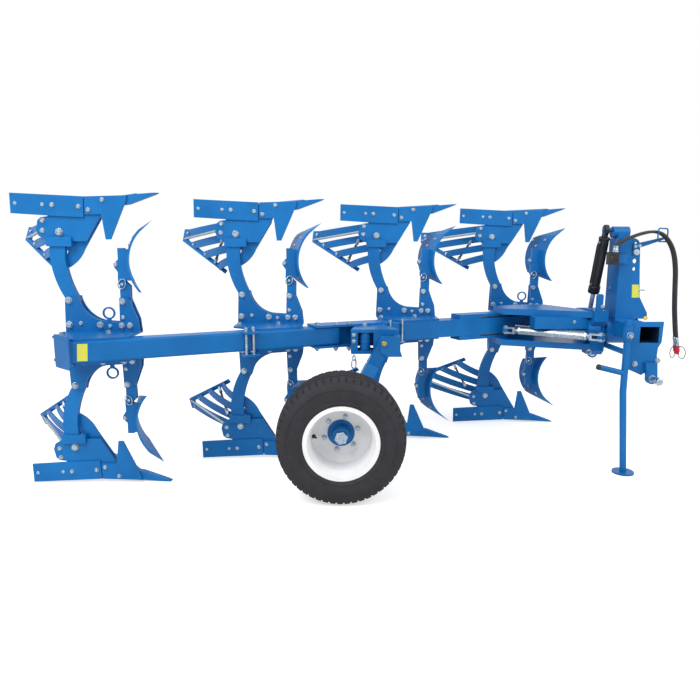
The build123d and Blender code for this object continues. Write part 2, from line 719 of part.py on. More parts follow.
# Bearing housing of the turnover shaft, with the cross tube's halves welded to its sides
HOUSING_FROM = HEAD_X + 70.0
HOUSING_TO = HEAD_X + 300.0
with BuildPart() as housing:
    with BuildSketch(Plane(origin=(HOUSING_FROM, AXIS_Y, AXIS_Z), x_dir=(0, 1, 0), z_dir=(1, 0, 0))):
        Circle(HOUSING_RADIUS)
    extrude(amount=HOUSING_TO - HOUSING_FROM)
    tube_start = (TUBE_X, AXIS_Y - HOUSING_HALF, TUBE_Z)
    with BuildSketch(Plane(origin=tube_start, x_dir=(1, 0, 0), z_dir=(0, 1, 0))):
        Rectangle(TUBE_WIDE, TUBE_HIGH)
    extrude(amount=2 * HOUSING_HALF)
    bore_radius = SHAFT_RADIUS + SHAFT_CLEARANCE
    add(round_along_x(HOUSING_FROM, AXIS_Y, AXIS_Z, bore_radius, HOUSING_TO - HOUSING_FROM),
        mode=Mode.SUBTRACT)
save(housing, "bearing_housing")

with BuildPart() as cross_tube:
    for near_y in (AXIS_Y - PLATE_SPREAD, AXIS_Y + HOUSING_HALF):
        with BuildSketch(Plane(origin=(TUBE_X, near_y, TUBE_Z), x_dir=(1, 0, 0), z_dir=(0, 1, 0))):
            RectangleRounded(TUBE_WIDE, TUBE_HIGH, 12)
            RectangleRounded(TUBE_WIDE - 2 * TUBE_WALL, TUBE_HIGH - 2 * TUBE_WALL, 6, mode=Mode.SUBTRACT)
        extrude(amount=PLATE_SPREAD - HOUSING_HALF)
save(cross_tube, "cross_tube")

# Cross bars under the housing, out to the hitch plates
CROSS_BAR_X = HEAD_X + 84.0
CROSS_BAR_Z = AXIS_Z - 104.0
CROSS_BAR_RADIUS = 19.0
with BuildPart() as cross_bars:
    for near_y in (AXIS_Y - PLATE_SPREAD, AXIS_Y + 20):
        add(round_along_y(CROSS_BAR_X, near_y, CROSS_BAR_Z, CROSS_BAR_RADIUS, PLATE_SPREAD - 20))
    add(round_along_x(HOUSING_FROM - 60, AXIS_Y, AXIS_Z, HOUSING_RADIUS + SEAT_GAP, 200), mode=Mode.SUBTRACT)
save(cross_bars, "cross_bars")

# Hitch plates at the cross tube's ends
HITCH_OUTLINE = [(55, 110), (270, 112), (266, -20), (246, -55), (243, -110), (252, -137), (236, -180),
                 (150, -235), (58, -195), (50, -165)]
with BuildPart() as hitch_plates:
    for near_y in (AXIS_Y - PLATE_SPREAD - HITCH_PLATE, AXIS_Y + PLATE_SPREAD):
        with BuildSketch(side_plane(HEAD_X, near_y + HITCH_PLATE)):
            with BuildLine():
                Polyline(HITCH_OUTLINE, close=True)
            make_face()
            with Locations((TUBE_X - HEAD_X, TUBE_Z - AXIS_Z)):
                Rectangle(TUBE_WIDE - 2 * TUBE_WALL, TUBE_HIGH - 2 * TUBE_WALL, mode=Mode.SUBTRACT)
        extrude(amount=HITCH_PLATE)
save(hitch_plates, "hitch_plates")

# Lower link lugs outside the hitch plates, each with a free stub pin on a shoulder
LINK_LUG_THICK = 30.0
LINK_EYE_RADIUS = 36.0
SHOULDER_RADIUS = 24.0
LUG_NECK = [(160, -150), (236, -150), (244, -240), (180, -265)]
with BuildPart() as link_lugs:
    lug_off = PLATE_SPREAD + HITCH_PLATE
    for near_y in (AXIS_Y - lug_off - LINK_LUG_THICK, AXIS_Y + lug_off):
        with BuildSketch(side_plane(HEAD_X, near_y + LINK_LUG_THICK)):
            with BuildLine():
                Polyline(LUG_NECK, close=True)
            make_face()
            with Locations((LINK_PIN_X - HEAD_X, LINK_PIN_Z - AXIS_Z)):
                Circle(LINK_EYE_RADIUS)
                Circle(SHOULDER_RADIUS + SEAT_GAP, mode=Mode.SUBTRACT)
        extrude(amount=LINK_LUG_THICK)
save(link_lugs, "lower_link_lugs")

with BuildPart() as link_pins:
    left_y = AXIS_Y + PLATE_SPREAD + HITCH_PLATE
    add(round_along_y(LINK_PIN_X, left_y, LINK_PIN_Z, SHOULDER_RADIUS, LINK_LUG_THICK))
    add(round_along_y(LINK_PIN_X, left_y + LINK_LUG_THICK, LINK_PIN_Z, LINK_PIN_RADIUS, LINK_PIN_FREE))
    right_y = AXIS_Y - PLATE_SPREAD - HITCH_PLATE
    add(round_along_y(LINK_PIN_X, right_y - LINK_LUG_THICK, LINK_PIN_Z, SHOULDER_RADIUS, LINK_LUG_THICK))
    add(round_along_y(LINK_PIN_X, right_y - LINK_LUG_THICK - LINK_PIN_FREE, LINK_PIN_Z, LINK_PIN_RADIUS,
                      LINK_PIN_FREE))
save(link_pins, "lower_link_pins")

# Mast
MAST_HALF = 90.0
MAST_BASE_Z = TUBE_Z + TUBE_HIGH / 2
MAST_REAR = 118.0
MAST_PLATE = 15.0
with BuildPart() as mast:
    with BuildSketch(side_plane(HEAD_X, AXIS_Y + MAST_HALF)):
        base_h = MAST_BASE_Z - AXIS_Z
        with BuildLine():
            Polyline((MAST_REAR, MAST_TOP_H), (MAST_REAR, base_h), (345, base_h), (339, 130), (277, 240),
                     (251, MAST_TOP_H - 50))
            ThreePointArc((251, MAST_TOP_H - 50), (234, MAST_TOP_H - 12), (196, MAST_TOP_H))
            Line((196, MAST_TOP_H), (MAST_REAR, MAST_TOP_H))
        make_face()
    extrude(amount=2 * MAST_HALF)
    with BuildSketch(side_plane(HEAD_X, AXIS_Y + MAST_HALF - MAST_PLATE)):
        with Locations((250, 560)):
            Rectangle(164, 420)
    extrude(amount=2 * (MAST_HALF - MAST_PLATE), mode=Mode.SUBTRACT)
    with BuildSketch(Plane(origin=(HOUSING_FROM - 10, AXIS_Y, AXIS_Z), x_dir=(0, 1, 0), z_dir=(1, 0, 0))):
        Circle(HOUSING_RADIUS + SEAT_GAP)
    extrude(amount=400, mode=Mode.SUBTRACT)
    with BuildSketch(side_plane(HEAD_X, AXIS_Y + MAST_HALF)):
        with Locations((TOP_PIN_X - HEAD_X, TOP_PIN_Z - AXIS_Z)):
            Circle(TOP_PIN_RADIUS + SHAFT_CLEARANCE)
        with Locations((TOP_PIN_X - HEAD_X, TOP_HOLE_H)):
            Circle(TOP_PIN_RADIUS)
        with Locations((TOP_PIN_X - HEAD_X, 602), (TOP_PIN_X - HEAD_X, 432)):
            Circle(SPARE_HOLE_RADIUS)
    extrude(amount=2 * MAST_HALF, mode=Mode.SUBTRACT)
save(mast, "mast")

BOSS_RADIUS = 40.0
with BuildPart() as mast_boss:
    add(round_along_x(HEAD_X + 90, AXIS_Y, CYL_TOP_Z - 15.7, BOSS_RADIUS, 112))
    neck_top = MAST_TOP_H + BOSS_RADIUS
    neck = [(MAST_REAR, MAST_TOP_H), (190, MAST_TOP_H), (200, neck_top), (MAST_REAR, neck_top)]
    add(upright(neck, HEAD_X, AXIS_Y - BOSS_RADIUS, 2 * BOSS_RADIUS, 1))
    pin_from = CYL_X - EYE_THICK / 2 - 8
    add(round_along_x(pin_from, AXIS_Y, CYL_TOP_Z, EYE_BORE - 0.1, HEAD_X + 100 - pin_from))
save(mast_boss, "mast_boss")

with BuildPart() as top_pin:
    add(round_along_y(TOP_PIN_X, AXIS_Y - MAST_HALF - 20, TOP_PIN_Z, TOP_PIN_RADIUS, 2 * MAST_HALF + 40))
save(top_pin, "top_link_pin")

# Turnover cylinder, laid along its own line from the mast's boss to the head's lug
CYL_LEAN = math.degrees(math.atan2(LUG_Y, CYL_TOP_Z - AXIS_Z - LUG_H))
CYL_LONG = math.hypot(LUG_Y, CYL_TOP_Z - AXIS_Z - LUG_H)
lean = math.radians(CYL_LEAN)
cyl_down = (0, math.sin(lean), -math.cos(lean))


def cyl_plane(along):
    """The cross plane of the cylinder at a distance down from its top pin."""
    y = AXIS_Y + along * math.sin(lean)
    z = CYL_TOP_Z - along * math.cos(lean)
    return Plane(origin=(CYL_X, y, z), x_dir=(1, 0, 0), z_dir=cyl_down)


def cyl_eye(along):
    """An eye across the cylinder, its bore along X."""
    with BuildPart() as piece:
        y = AXIS_Y + along * math.sin(lean)
        z = CYL_TOP_Z - along * math.cos(lean)
        with BuildSketch(Plane(origin=(CYL_X - EYE_THICK / 2, y, z), x_dir=(0, 1, 0), z_dir=(1, 0, 0))):
            Circle(EYE_RADIUS)
        extrude(amount=EYE_THICK)
    return piece.part


def cyl_eye_bore(along):
    """The bore through an eye."""
    with BuildPart() as piece:
        y = AXIS_Y + along * math.sin(lean)
        z = CYL_TOP_Z - along * math.cos(lean)
        with BuildSketch(Plane(origin=(CYL_X - EYE_THICK / 2, y, z), x_dir=(0, 1, 0), z_dir=(1, 0, 0))):
            Circle(EYE_BORE)
        extrude(amount=EYE_THICK)
    return piece.part


BARREL_FROM = 60.0
ROD_HIDDEN = 330.0
with BuildPart() as barrel:
    with BuildSketch(cyl_plane(BARREL_FROM)):
        Circle(BARREL_RADIUS)
    extrude(amount=BARREL_LENGTH - BARREL_FROM)
    with BuildSketch(cyl_plane(20)):
        Rectangle(EYE_THICK, 40)
    extrude(amount=BARREL_FROM - 20)
    add(cyl_eye(0))
    add(cyl_eye_bore(0), mode=Mode.SUBTRACT)
    with BuildSketch(cyl_plane(BARREL_FROM + 20)):
        Circle(ROD_RADIUS + SHAFT_CLEARANCE)
    extrude(amount=BARREL_LENGTH, mode=Mode.SUBTRACT)
save(barrel, "cylinder_barrel")

with BuildPart() as rod:
    with BuildSketch(cyl_plane(CYL_LONG - ROD_HIDDEN - 60)):
        Circle(ROD_RADIUS)
    extrude(amount=ROD_HIDDEN + 60 - EYE_RADIUS + 4)
    add(cyl_eye(CYL_LONG))
    add(cyl_eye_bore(CYL_LONG), mode=Mode.SUBTRACT)
save(rod, "cylinder_rod")

# Depth wheel: pivot block on the splice, with a swivel boss; the arm's head has a cheek plate in front
PIVOT_PIN_RADIUS = 20.0
PIVOT_BOSS_RADIUS = 44.0
PIVOT_BOSS_HALF = 42.0
CHEEK_GAP = 6.0
CHEEK = 12.0
BLOCK_TOP = 40.0
BLOCK_FOOT = -78.0
block_near_y = ARM_PIVOT_Y + PIVOT_BOSS_HALF + CHEEK_GAP
with BuildPart() as wheel_bracket:
    root_back = beam_point(FRONT_BEAM_TO + 200, -20)
    root_front = beam_point(FRONT_BEAM_TO + 5, -20)
    near = [(ARM_PIVOT_X - 208, block_near_y), (ARM_PIVOT_X + 95, block_near_y)]
    add(level(near + [root_front, root_back], AXIS_Z + BLOCK_TOP, 20))
    add(level(near + [(ARM_PIVOT_X + 95, block_near_y + 130), (ARM_PIVOT_X - 208, block_near_y + 130)],
              AXIS_Z + BLOCK_FOOT - 20, 20))
    high = BLOCK_TOP - BLOCK_FOOT
    add(level([(ARM_PIVOT_X - 208, block_near_y), (ARM_PIVOT_X - 166, block_near_y),
               (ARM_PIVOT_X - 166, block_near_y + 110), (ARM_PIVOT_X - 208, block_near_y + 110)],
              AXIS_Z + BLOCK_FOOT, high))
    add(level([(ARM_PIVOT_X - 66, block_near_y), (ARM_PIVOT_X + 95, block_near_y), root_front, root_back,
               (ARM_PIVOT_X - 208, block_near_y + 130), (ARM_PIVOT_X - 208, block_near_y + 100),
               (ARM_PIVOT_X - 66, block_near_y + 100)], AXIS_Z + BLOCK_FOOT + 18, high - 18))
    add(round_upright(ARM_PIVOT_X - 117, block_near_y + 42, AXIS_Z + BLOCK_FOOT, 34, high))
    for z in (BLOCK_FOOT + 6, -30, 4):
        add(round_upright(ARM_PIVOT_X - 117, block_near_y + 42, AXIS_Z + z, 37, 10))
    pin_end_y = ARM_PIVOT_Y - PIVOT_BOSS_HALF + 1
    add(round_along_y(ARM_PIVOT_X, pin_end_y, ARM_PIVOT_Z, PIVOT_PIN_RADIUS, block_near_y - pin_end_y))
save(wheel_bracket, "wheel_bracket")

ARM_END = Vector(WHEEL_X, WHEEL_Y + 215, WHEEL_Z)
ARM_START = Vector(ARM_PIVOT_X, ARM_PIVOT_Y, ARM_PIVOT_Z)
ARM_KNEE = ARM_START + Vector(WHEEL_X - ARM_PIVOT_X, 0, WHEEL_Z - ARM_PIVOT_Z).normalized() * 150
with BuildPart() as wheel_arm:
    for start, end, spare in ((ARM_START, ARM_KNEE, 0), (ARM_KNEE, ARM_END, 0)):
        with BuildSketch(Plane(origin=start, x_dir=(0, 1, 0), z_dir=end - start)):
            Rectangle(ARM_TUBE, ARM_TUBE)
        extrude(amount=(end - start).length)
    boss_from = ARM_PIVOT_Y - PIVOT_BOSS_HALF
    add(round_along_y(ARM_PIVOT_X, boss_from, ARM_PIVOT_Z, PIVOT_BOSS_RADIUS, 2 * PIVOT_BOSS_HALF))
    add(round_along_y(WHEEL_X, WHEEL_Y + 138, WHEEL_Z, 48, 126))
    add(round_along_y(ARM_PIVOT_X, ARM_PIVOT_Y - 100, ARM_PIVOT_Z, PIVOT_PIN_RADIUS + SHAFT_CLEARANCE, 200),
        mode=Mode.SUBTRACT)
    cheek_y = boss_from - CHEEK
    cheek = [(-30, 30), (95, 30), (95, -60), (108, -98), (12, -98), (-30, -66)]
    add(upright(cheek, ARM_PIVOT_X, cheek_y, CHEEK, 1))
    add(upright([(60, 30), (95, 30), (95, -60), (108, -98), (60, -98)], ARM_PIVOT_X, cheek_y + CHEEK,
                2 * PIVOT_BOSS_HALF, 1))
    shelf = [(20, -98), (95, -98), (95, -84), (20, -84)]
    add(upright(shelf, ARM_PIVOT_X, cheek_y + CHEEK, 2 * PIVOT_BOSS_HALF, 1))
save(wheel_arm, "wheel_arm")

HUB_FLANGE_Y = 62.0
HUB_BACK_Y = 128.0
PILOT_RADIUS = 80.0
HUB_FLANGE_RADIUS = 122.0
HUB_CAP_RADIUS = 50.0
AXLE_RADIUS = 25.0
DISC_Y = 68.0
RIM_PLATE = 8.0
with BuildPart() as axle:
    add(round_along_y(WHEEL_X, WHEEL_Y + HUB_FLANGE_Y + 5, WHEEL_Z, AXLE_RADIUS, 138 - HUB_FLANGE_Y - 5))
save(axle, "wheel_axle")

with BuildPart() as hub:
    for near_y, radius, long in (
        (HUB_FLANGE_Y, PILOT_RADIUS, HUB_BACK_Y - HUB_FLANGE_Y),
        (DISC_Y + RIM_PLATE + SEAT_GAP, HUB_FLANGE_RADIUS, 14),
    ):
        hub_start = (WHEEL_X, WHEEL_Y + near_y, WHEEL_Z)
        with BuildSketch(Plane(origin=hub_start, x_dir=(1, 0, 0), z_dir=(0, 1, 0))):
            Circle(radius)
            Circle(AXLE_RADIUS + SHAFT_CLEARANCE, mode=Mode.SUBTRACT)
        extrude(amount=long)
    add(round_along_y(WHEEL_X, WHEEL_Y - 24, WHEEL_Z, HUB_CAP_RADIUS, HUB_FLANGE_Y + 24))
    with BuildSketch(Plane(origin=(WHEEL_X, WHEEL_Y - 46, WHEEL_Z), x_dir=(1, 0, 0), z_dir=(0, 1, 0))):
        RegularPolygon(33, 6)
    extrude(amount=22)
save(hub, "wheel_hub")

RIM_HALF = 150.0
RIM_RADIUS = 217.0
RIM_BED_RADIUS = 184.0
with BuildPart() as rim:
    with BuildSketch(Plane(origin=(WHEEL_X, WHEEL_Y, WHEEL_Z), x_dir=(1, 0, 0), z_dir=(0, 0, 1))):
        bed_inside = RIM_BED_RADIUS - RIM_PLATE
        with BuildLine():
            Polyline((RIM_RADIUS - 25, -RIM_HALF), (RIM_RADIUS, -RIM_HALF), (RIM_RADIUS, -RIM_HALF + 10),
                     (RIM_RADIUS - 19, -RIM_HALF + 12), (RIM_BED_RADIUS, -80), (RIM_BED_RADIUS, 80),
                     (RIM_RADIUS - 19, RIM_HALF - 12), (RIM_RADIUS, RIM_HALF - 10), (RIM_RADIUS, RIM_HALF),
                     (RIM_RADIUS - 25, RIM_HALF), (bed_inside, DISC_Y + 30), (bed_inside, DISC_Y - 10),
                     (132, DISC_Y + RIM_PLATE), (PILOT_RADIUS + SEAT_GAP, DISC_Y + RIM_PLATE),
                     (PILOT_RADIUS + SEAT_GAP, DISC_Y), (130, DISC_Y), (bed_inside, DISC_Y - 20),
                     (bed_inside, -82), close=True)
        make_face()
    revolve(axis=Axis((WHEEL_X, WHEEL_Y, WHEEL_Z), (0, 1, 0)))
save(rim, "wheel_rim")

with BuildPart() as tyre:
    with BuildSketch(Plane(origin=(WHEEL_X, WHEEL_Y, WHEEL_Z), x_dir=(1, 0, 0), z_dir=(0, 0, 1))):
        with BuildLine():
            outer = TYRE_DIAMETER / 2
            wide = TYRE_WIDTH / 2
            bead = RIM_RADIUS + 1
            Polyline((bead, -RIM_HALF + 2), (bead, RIM_HALF - 2))
            ThreePointArc((bead, RIM_HALF - 2), (285, wide), (outer - 36, wide - 18))
            Line((outer - 36, wide - 18), (outer - 12, wide - 46))
            ThreePointArc((outer - 12, wide - 46), (outer, 0), (outer - 12, -wide + 46))
            Line((outer - 12, -wide + 46), (outer - 36, -wide + 18))
            ThreePointArc((outer - 36, -wide + 18), (285, -wide), (bead, -RIM_HALF + 2))
        make_face()
    revolve(axis=Axis((WHEEL_X, WHEEL_Y, WHEEL_Z), (0, 1, 0)))
save(tyre, "tyre")

# Parking stand
with BuildPart() as stand_sleeve:
    with BuildSketch(Plane(origin=(STAND_X, STAND_Y, AXIS_Z + SLEEVE_FOOT))):
        Circle(STAND_RADIUS + 7)
        with Locations((38, 34)):
            Rectangle(52, 34)
        Circle(STAND_RADIUS + 0.5, mode=Mode.SUBTRACT)
    extrude(amount=SLEEVE_HIGH)
save(stand_sleeve, "stand_sleeve")

with BuildPart() as stand_leg:
    with BuildLine():
        Polyline((STAND_X, STAND_Y, STAND_TOP_Z), (STAND_X, STAND_Y, STAND_BEND_Z),
                 (STAND_FOOT_X, STAND_Y, STAND_FOOT_THICK))
    with BuildSketch(Plane(origin=(STAND_X, STAND_Y, STAND_TOP_Z), z_dir=(0, 0, -1))):
        Circle(STAND_RADIUS)
    sweep(transition=Transition.RIGHT)
    grip_start = (STAND_X - 10, STAND_Y, AXIS_Z - 210)
    with BuildSketch(Plane(origin=grip_start, x_dir=(0, 1, 0), z_dir=(-1, 0, 0.24))):
        Circle(18)
    extrude(amount=170)
    add(round_upright(STAND_FOOT_X, STAND_Y, 0, STAND_FOOT_RADIUS, STAND_FOOT_THICK))
save(stand_leg, "stand_leg")

# Hoses of the turnover cylinder: valve block on the mast, wire guide, two hoses with their couplings
VALVE_Y = AXIS_Y - MAST_HALF
with BuildPart() as valve_block:
    add(upright([(10, 463), (76, 463), (76, 547), (10, 547)], HEAD_X, VALVE_Y - 82, 50, 1))
save(valve_block, "valve_block")
with BuildPart() as valve_bracket:
    add(upright([(20, 470), (160, 470), (160, 530), (20, 530)], HEAD_X, VALVE_Y - 32, 6, 1))
    add(upright([(136, 470), (160, 470), (160, 530), (136, 530)], HEAD_X, VALVE_Y - 26, 26, 1))
save(valve_bracket, "valve_bracket")

HOSE_RADIUS = 9.5
HOSE_Y = (VALVE_Y - 72.0, VALVE_Y - 42.0)
HOSE_POINTS = [(58, 547), (58, 590), (100, 622), (158, 646), (224, 670), (300, 686), (368, 672), (424, 612),
               (460, 536), (480, 430), (487, 310), (497, 170), (511, 60), (527, -44)]
COUPLING_LONG = 70.0
COUPLING_RADIUS = 12.5


def hose_radii(points):
    """The arc at each inner point, as large as its two runs allow."""
    radii = []
    for before, here, after in zip(points, points[1:], points[2:]):
        first = Vector(*here) - Vector(*before)
        second = Vector(*after) - Vector(*here)
        half_turn = math.radians(first.get_angle(second)) / 2
        radii.append(0.45 * min(first.length, second.length) / math.tan(half_turn))
    return radii


for number, hose_y in enumerate(HOSE_Y, 1):
    route = [(HEAD_X + px, hose_y, AXIS_Z + h) for px, h in HOSE_POINTS]
    radii = hose_radii(route)
    print("hose", number, "radii", [round(value) for value in radii])
    with BuildPart() as hose:
        with BuildLine() as path:
            FilletPolyline(*route, radius=radii)
        with BuildSketch(Plane(origin=route[0], z_dir=Vector(*route[1]) - Vector(*route[0]))):
            Circle(HOSE_RADIUS)
        sweep()
    hose_long = sum(edge.length for edge in path.edges())
    print("volume", round(hose.part.volume), "section times length",
          round(math.pi * HOSE_RADIUS ** 2 * hose_long), "length", round(hose_long))
    save(hose, f"hose_{number}")

CAP_LONG = 46.0
CAP_RADIUS = 14.9
for number, hose_y in enumerate(HOSE_Y, 1):
    last = Vector(HEAD_X + HOSE_POINTS[-1][0], hose_y, AXIS_Z + HOSE_POINTS[-1][1])
    before = Vector(HEAD_X + HOSE_POINTS[-2][0], hose_y, AXIS_Z + HOSE_POINTS[-2][1])
    along = (last - before).normalized()
    with BuildPart() as coupling:
        with BuildSketch(Plane(origin=last, z_dir=along)):
            Circle(COUPLING_RADIUS)
        extrude(amount=COUPLING_LONG)
        with BuildSketch(Plane(origin=last + along * COUPLING_LONG, z_dir=along)):
            Circle(CAP_RADIUS)
        extrude(amount=CAP_LONG)
    save(coupling, f"coupling_{number}")

# Wire guide of the hoses: a loop of bar turned half towards the landside, on an arm from the mast's ear
GUIDE_BAR = 10.0
GUIDE_WIDE = 127.0
GUIDE_HIGH = 97.0
GUIDE_X = 371.0
GUIDE_H = 661.0
with BuildPart() as hose_guide:
    middle_y = (HOSE_Y[0] + HOSE_Y[1]) / 2
    guide_middle = (HEAD_X + GUIDE_X, middle_y, AXIS_Z + GUIDE_H)
    with BuildSketch(Plane(origin=guide_middle, x_dir=(1, 1, 0), z_dir=(1, -1, 0))):
        RectangleRounded(GUIDE_WIDE, GUIDE_HIGH, 24)
        RectangleRounded(GUIDE_WIDE - 2 * GUIDE_BAR, GUIDE_HIGH - 2 * GUIDE_BAR, 14, mode=Mode.SUBTRACT)
    extrude(amount=GUIDE_BAR / 2, both=True)
    add(upright([(200, 560), (200, 600), (414, 650), (418, 636)], HEAD_X, VALVE_Y - 12, 12, 1))
    split(bisect_by=Plane(origin=(HEAD_X + 420, VALVE_Y, AXIS_Z), z_dir=(1, 0, 0)), keep=Keep.BOTTOM)
save(hose_guide, "hose_guide")
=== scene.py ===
# %% [markdown]
# # A reversible plough, dressed for its portrait
#
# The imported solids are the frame: every plate already stands where it belongs, in metres, with
# +X the way the plough travels and +Z up. This script gives them paint, and adds the pieces that
# only the eye needs: bolts, nuts, tyre tread, hoses, chain links and yellow plates.

import math
from typing import NamedTuple

import bmesh
import bpy
from mathutils import Matrix, Vector
from mathutils.bvhtree import BVHTree


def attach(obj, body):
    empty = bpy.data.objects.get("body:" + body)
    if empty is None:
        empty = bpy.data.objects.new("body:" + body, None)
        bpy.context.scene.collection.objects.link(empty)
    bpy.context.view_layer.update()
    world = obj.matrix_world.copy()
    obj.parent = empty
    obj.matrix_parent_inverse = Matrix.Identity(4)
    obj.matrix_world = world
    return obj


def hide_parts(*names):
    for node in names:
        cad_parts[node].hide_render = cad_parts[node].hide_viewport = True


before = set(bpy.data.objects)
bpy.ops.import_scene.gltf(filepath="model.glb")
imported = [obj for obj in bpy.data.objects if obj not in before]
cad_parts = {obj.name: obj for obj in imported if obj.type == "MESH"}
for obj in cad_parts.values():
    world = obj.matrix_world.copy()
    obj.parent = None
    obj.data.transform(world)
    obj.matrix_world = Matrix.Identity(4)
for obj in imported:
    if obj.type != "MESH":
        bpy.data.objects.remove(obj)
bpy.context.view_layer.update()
scene = bpy.context.scene

# %% [markdown]
# ## The camera
#
# The camera's place and lens were worked out from the photograph: the four stations are equally
# spaced along the beam, and the wheel is a circle, which together fix the perspective. A camera
# object looks along its own -Z, so its axes are given as the right, up and backward directions.
# A constraint that tracks a point could aim it too, but it would lose the picture's slight roll.

# %% Camera
CAMERA_PLACE = Vector((-0.06671, -4.41058, 1.47291))
YAW, PITCH, ROLL = (math.radians(angle) for angle in (1.253209, 9.884185, 0.28853))
ahead = Vector((math.sin(YAW) * math.cos(PITCH), math.cos(YAW) * math.cos(PITCH), -math.sin(PITCH)))
level_right = Vector((math.cos(YAW), -math.sin(YAW), 0))
level_up = level_right.cross(ahead)
right = level_right * math.cos(ROLL) + level_up * math.sin(ROLL)
up = level_up * math.cos(ROLL) - level_right * math.sin(ROLL)
camera_data = bpy.data.cameras.new("photo_camera")
camera_data.sensor_width = 36.0
camera_data.lens = 31.447
camera_data.clip_end = 60.0
camera = bpy.data.objects.new("photo_camera", camera_data)
scene.collection.objects.link(camera)
turned = Matrix((right, up, -ahead)).transposed().to_4x4()
camera.matrix_world = Matrix.Translation(CAMERA_PLACE) @ turned
scene.camera = camera
print("camera at", [round(v, 3) for v in CAMERA_PLACE])

# %% [markdown]
# ## Places on the plough
#
# The same few sizes as in the solids' source: the height and side of the turnover axis, the tip
# of the first share, and the step from one station to the next. A point is written in
# millimetres: x from the first share's tip, y from the turnover axis, h above it. The eight bodies
# are alike, so a point on one of them is written from its own share's tip and holds for all.

# %% Sizes
AXIS = 878.0
AXIS_Y = -132.0
TIP = 1750.0
LAND = AXIS_Y + 650.0
PITCH_X, PITCH_Y = 950.0, 430.0
TYRE_RADIUS = 375.0
WHEEL = Vector((TIP - 1791.0, AXIS_Y - 881.0, TYRE_RADIUS)) / 1000.0
ALONG_X = Vector((1, 0, 0))
ALONG_Y = Vector((0, 1, 0))
UPWARD = Vector((0, 0, 1))


def mm(x, y, z):
    """A point from millimetres in the frame."""
    return Vector((x, y, z)) / 1000.0


def on_head(x, y, h):
    """A point from millimetres off the first share's tip and the turnover axis."""
    return mm(TIP + x, AXIS_Y + y, AXIS + h)


class Body(NamedTuple):
    """One body: its share's tip, the plane of its landslide, and 1 above the beam or -1 below."""

    tip_x: float
    land_y: float
    half: int

    def at(self, x, y, h):
        """A point from millimetres off the share's tip, the landslide and the turnover axis."""
        return mm(self.tip_x + x, self.land_y + y, AXIS + self.half * h)


STATIONS = [[Body(TIP - i * PITCH_X, LAND - i * PITCH_Y, half) for half in (1, -1)] for i in range(4)]
BODIES = [body for station in STATIONS for body in station]
print("bodies", len(BODIES), "first tip", [round(v, 3) for v in BODIES[0].at(0, 0, 0)])

# %% [markdown]
# ## Ways to make a mesh
#
# Turned parts, such as bolts, caps and hubs, are made as on a lathe: a profile of radius and
# distance is spun about an axis. With six sides the same function makes a hexagon. Primitives with
# modifiers could make them too, but a profile is as short and reads like the part's own drawing.

# %% Turned parts


class Shape:
    """Corners and faces gathered for one piece."""

    def __init__(self):
        self.corners = []
        self.faces = []

    def add(self, corners, faces):
        start = len(self.corners)
        self.corners.extend(corners)
        self.faces.extend([tuple(start + i for i in face) for face in faces])


def spin(shape, place, axis, profile, sides, turn=0.0):
    """Turn a profile of (radius, distance) in millimetres about an axis that starts at place."""
    axis = axis.normalized()
    side = axis.cross(UPWARD) if abs(axis.z) < 0.9 else axis.cross(ALONG_Y)
    side.normalize()
    other = axis.cross(side)
    corners, rings, faces = [], [], []
    for radius, along in profile:
        centre = place + axis * along / 1000
        start = len(corners)
        if radius == 0:
            corners.append(centre)
            rings.append([start] * sides)
            continue
        for i in range(sides):
            angle = turn + 2 * math.pi * i / sides
            corners.append(centre + (side * math.cos(angle) + other * math.sin(angle)) * radius / 1000)
        rings.append(list(range(start, start + sides)))
    for low, high in zip(rings, rings[1:]):
        for i in range(sides):
            j = (i + 1) % sides
            face = list(dict.fromkeys((low[i], low[j], high[j], high[i])))
            if len(face) > 2:
                faces.append(face)
    for ring in (rings[0], rings[-1]):
        if len(set(ring)) > 1:
            faces.append(ring)
    shape.add(corners, faces)


def disc(radius, low, high, inset, drop):
    """The profile of a disc or stud from low to high, whose upper edge is chamfered."""
    return [(0, low), (radius, low), (radius, high - drop), (radius - inset, high), (0, high)]


# %% [markdown]
# ## Bars and plates
#
# Rods, wire and chain are rings of corners carried along a line: at each point the ring is turned
# to face the way the line runs, without twisting. A curve with a bevel would do the same, but here
# bars and turned parts share one mesh. A plate is its outline and a copy of it, one thickness away.

# %% Bars and plates


def pipe(shape, line, radius, sides, closed=False):
    """A round bar along a line of points, its radius in millimetres."""
    corners, faces = [], []
    count = len(line)
    side = None
    for i, point in enumerate(line):
        before = line[i - 1] if (i or closed) else point
        after = line[(i + 1) % count] if (i < count - 1 or closed) else point
        along = (after - before).normalized()
        if side is None:
            side = along.orthogonal().normalized()
        side = (side - along * side.dot(along)).normalized()
        other = along.cross(side)
        for k in range(sides):
            angle = 2 * math.pi * k / sides
            corners.append(point + (side * math.cos(angle) + other * math.sin(angle)) * radius / 1000)
    last = count if closed else count - 1
    for i in range(last):
        for k in range(sides):
            j, m = (i + 1) % count, (k + 1) % sides
            faces.append((i * sides + k, i * sides + m, j * sides + m, j * sides + k))
    if not closed:
        faces.append(tuple(range(sides)))
        faces.append(tuple((count - 1) * sides + k for k in range(sides)))
    shape.add(corners, faces)


BOX_FACES = [(0, 1, 2, 3), (4, 5, 6, 7), (0, 1, 5, 4), (1, 2, 6, 5), (2, 3, 7, 6), (3, 0, 4, 7)]


def plate(shape, outline, place, across, upward, thick):
    """A flat plate from its outline in millimetres, thickened towards across x upward."""
    through = across.cross(upward).normalized() * thick / 1000
    front = [place + across * x / 1000 + upward * y / 1000 for x, y in outline]
    count = len(front)
    corners = front + [corner + through for corner in front]
    faces = [tuple(range(count)), tuple(range(count, 2 * count))]
    faces += [(i, (i + 1) % count, count + (i + 1) % count, count + i) for i in range(count)]
    shape.add(corners, faces)


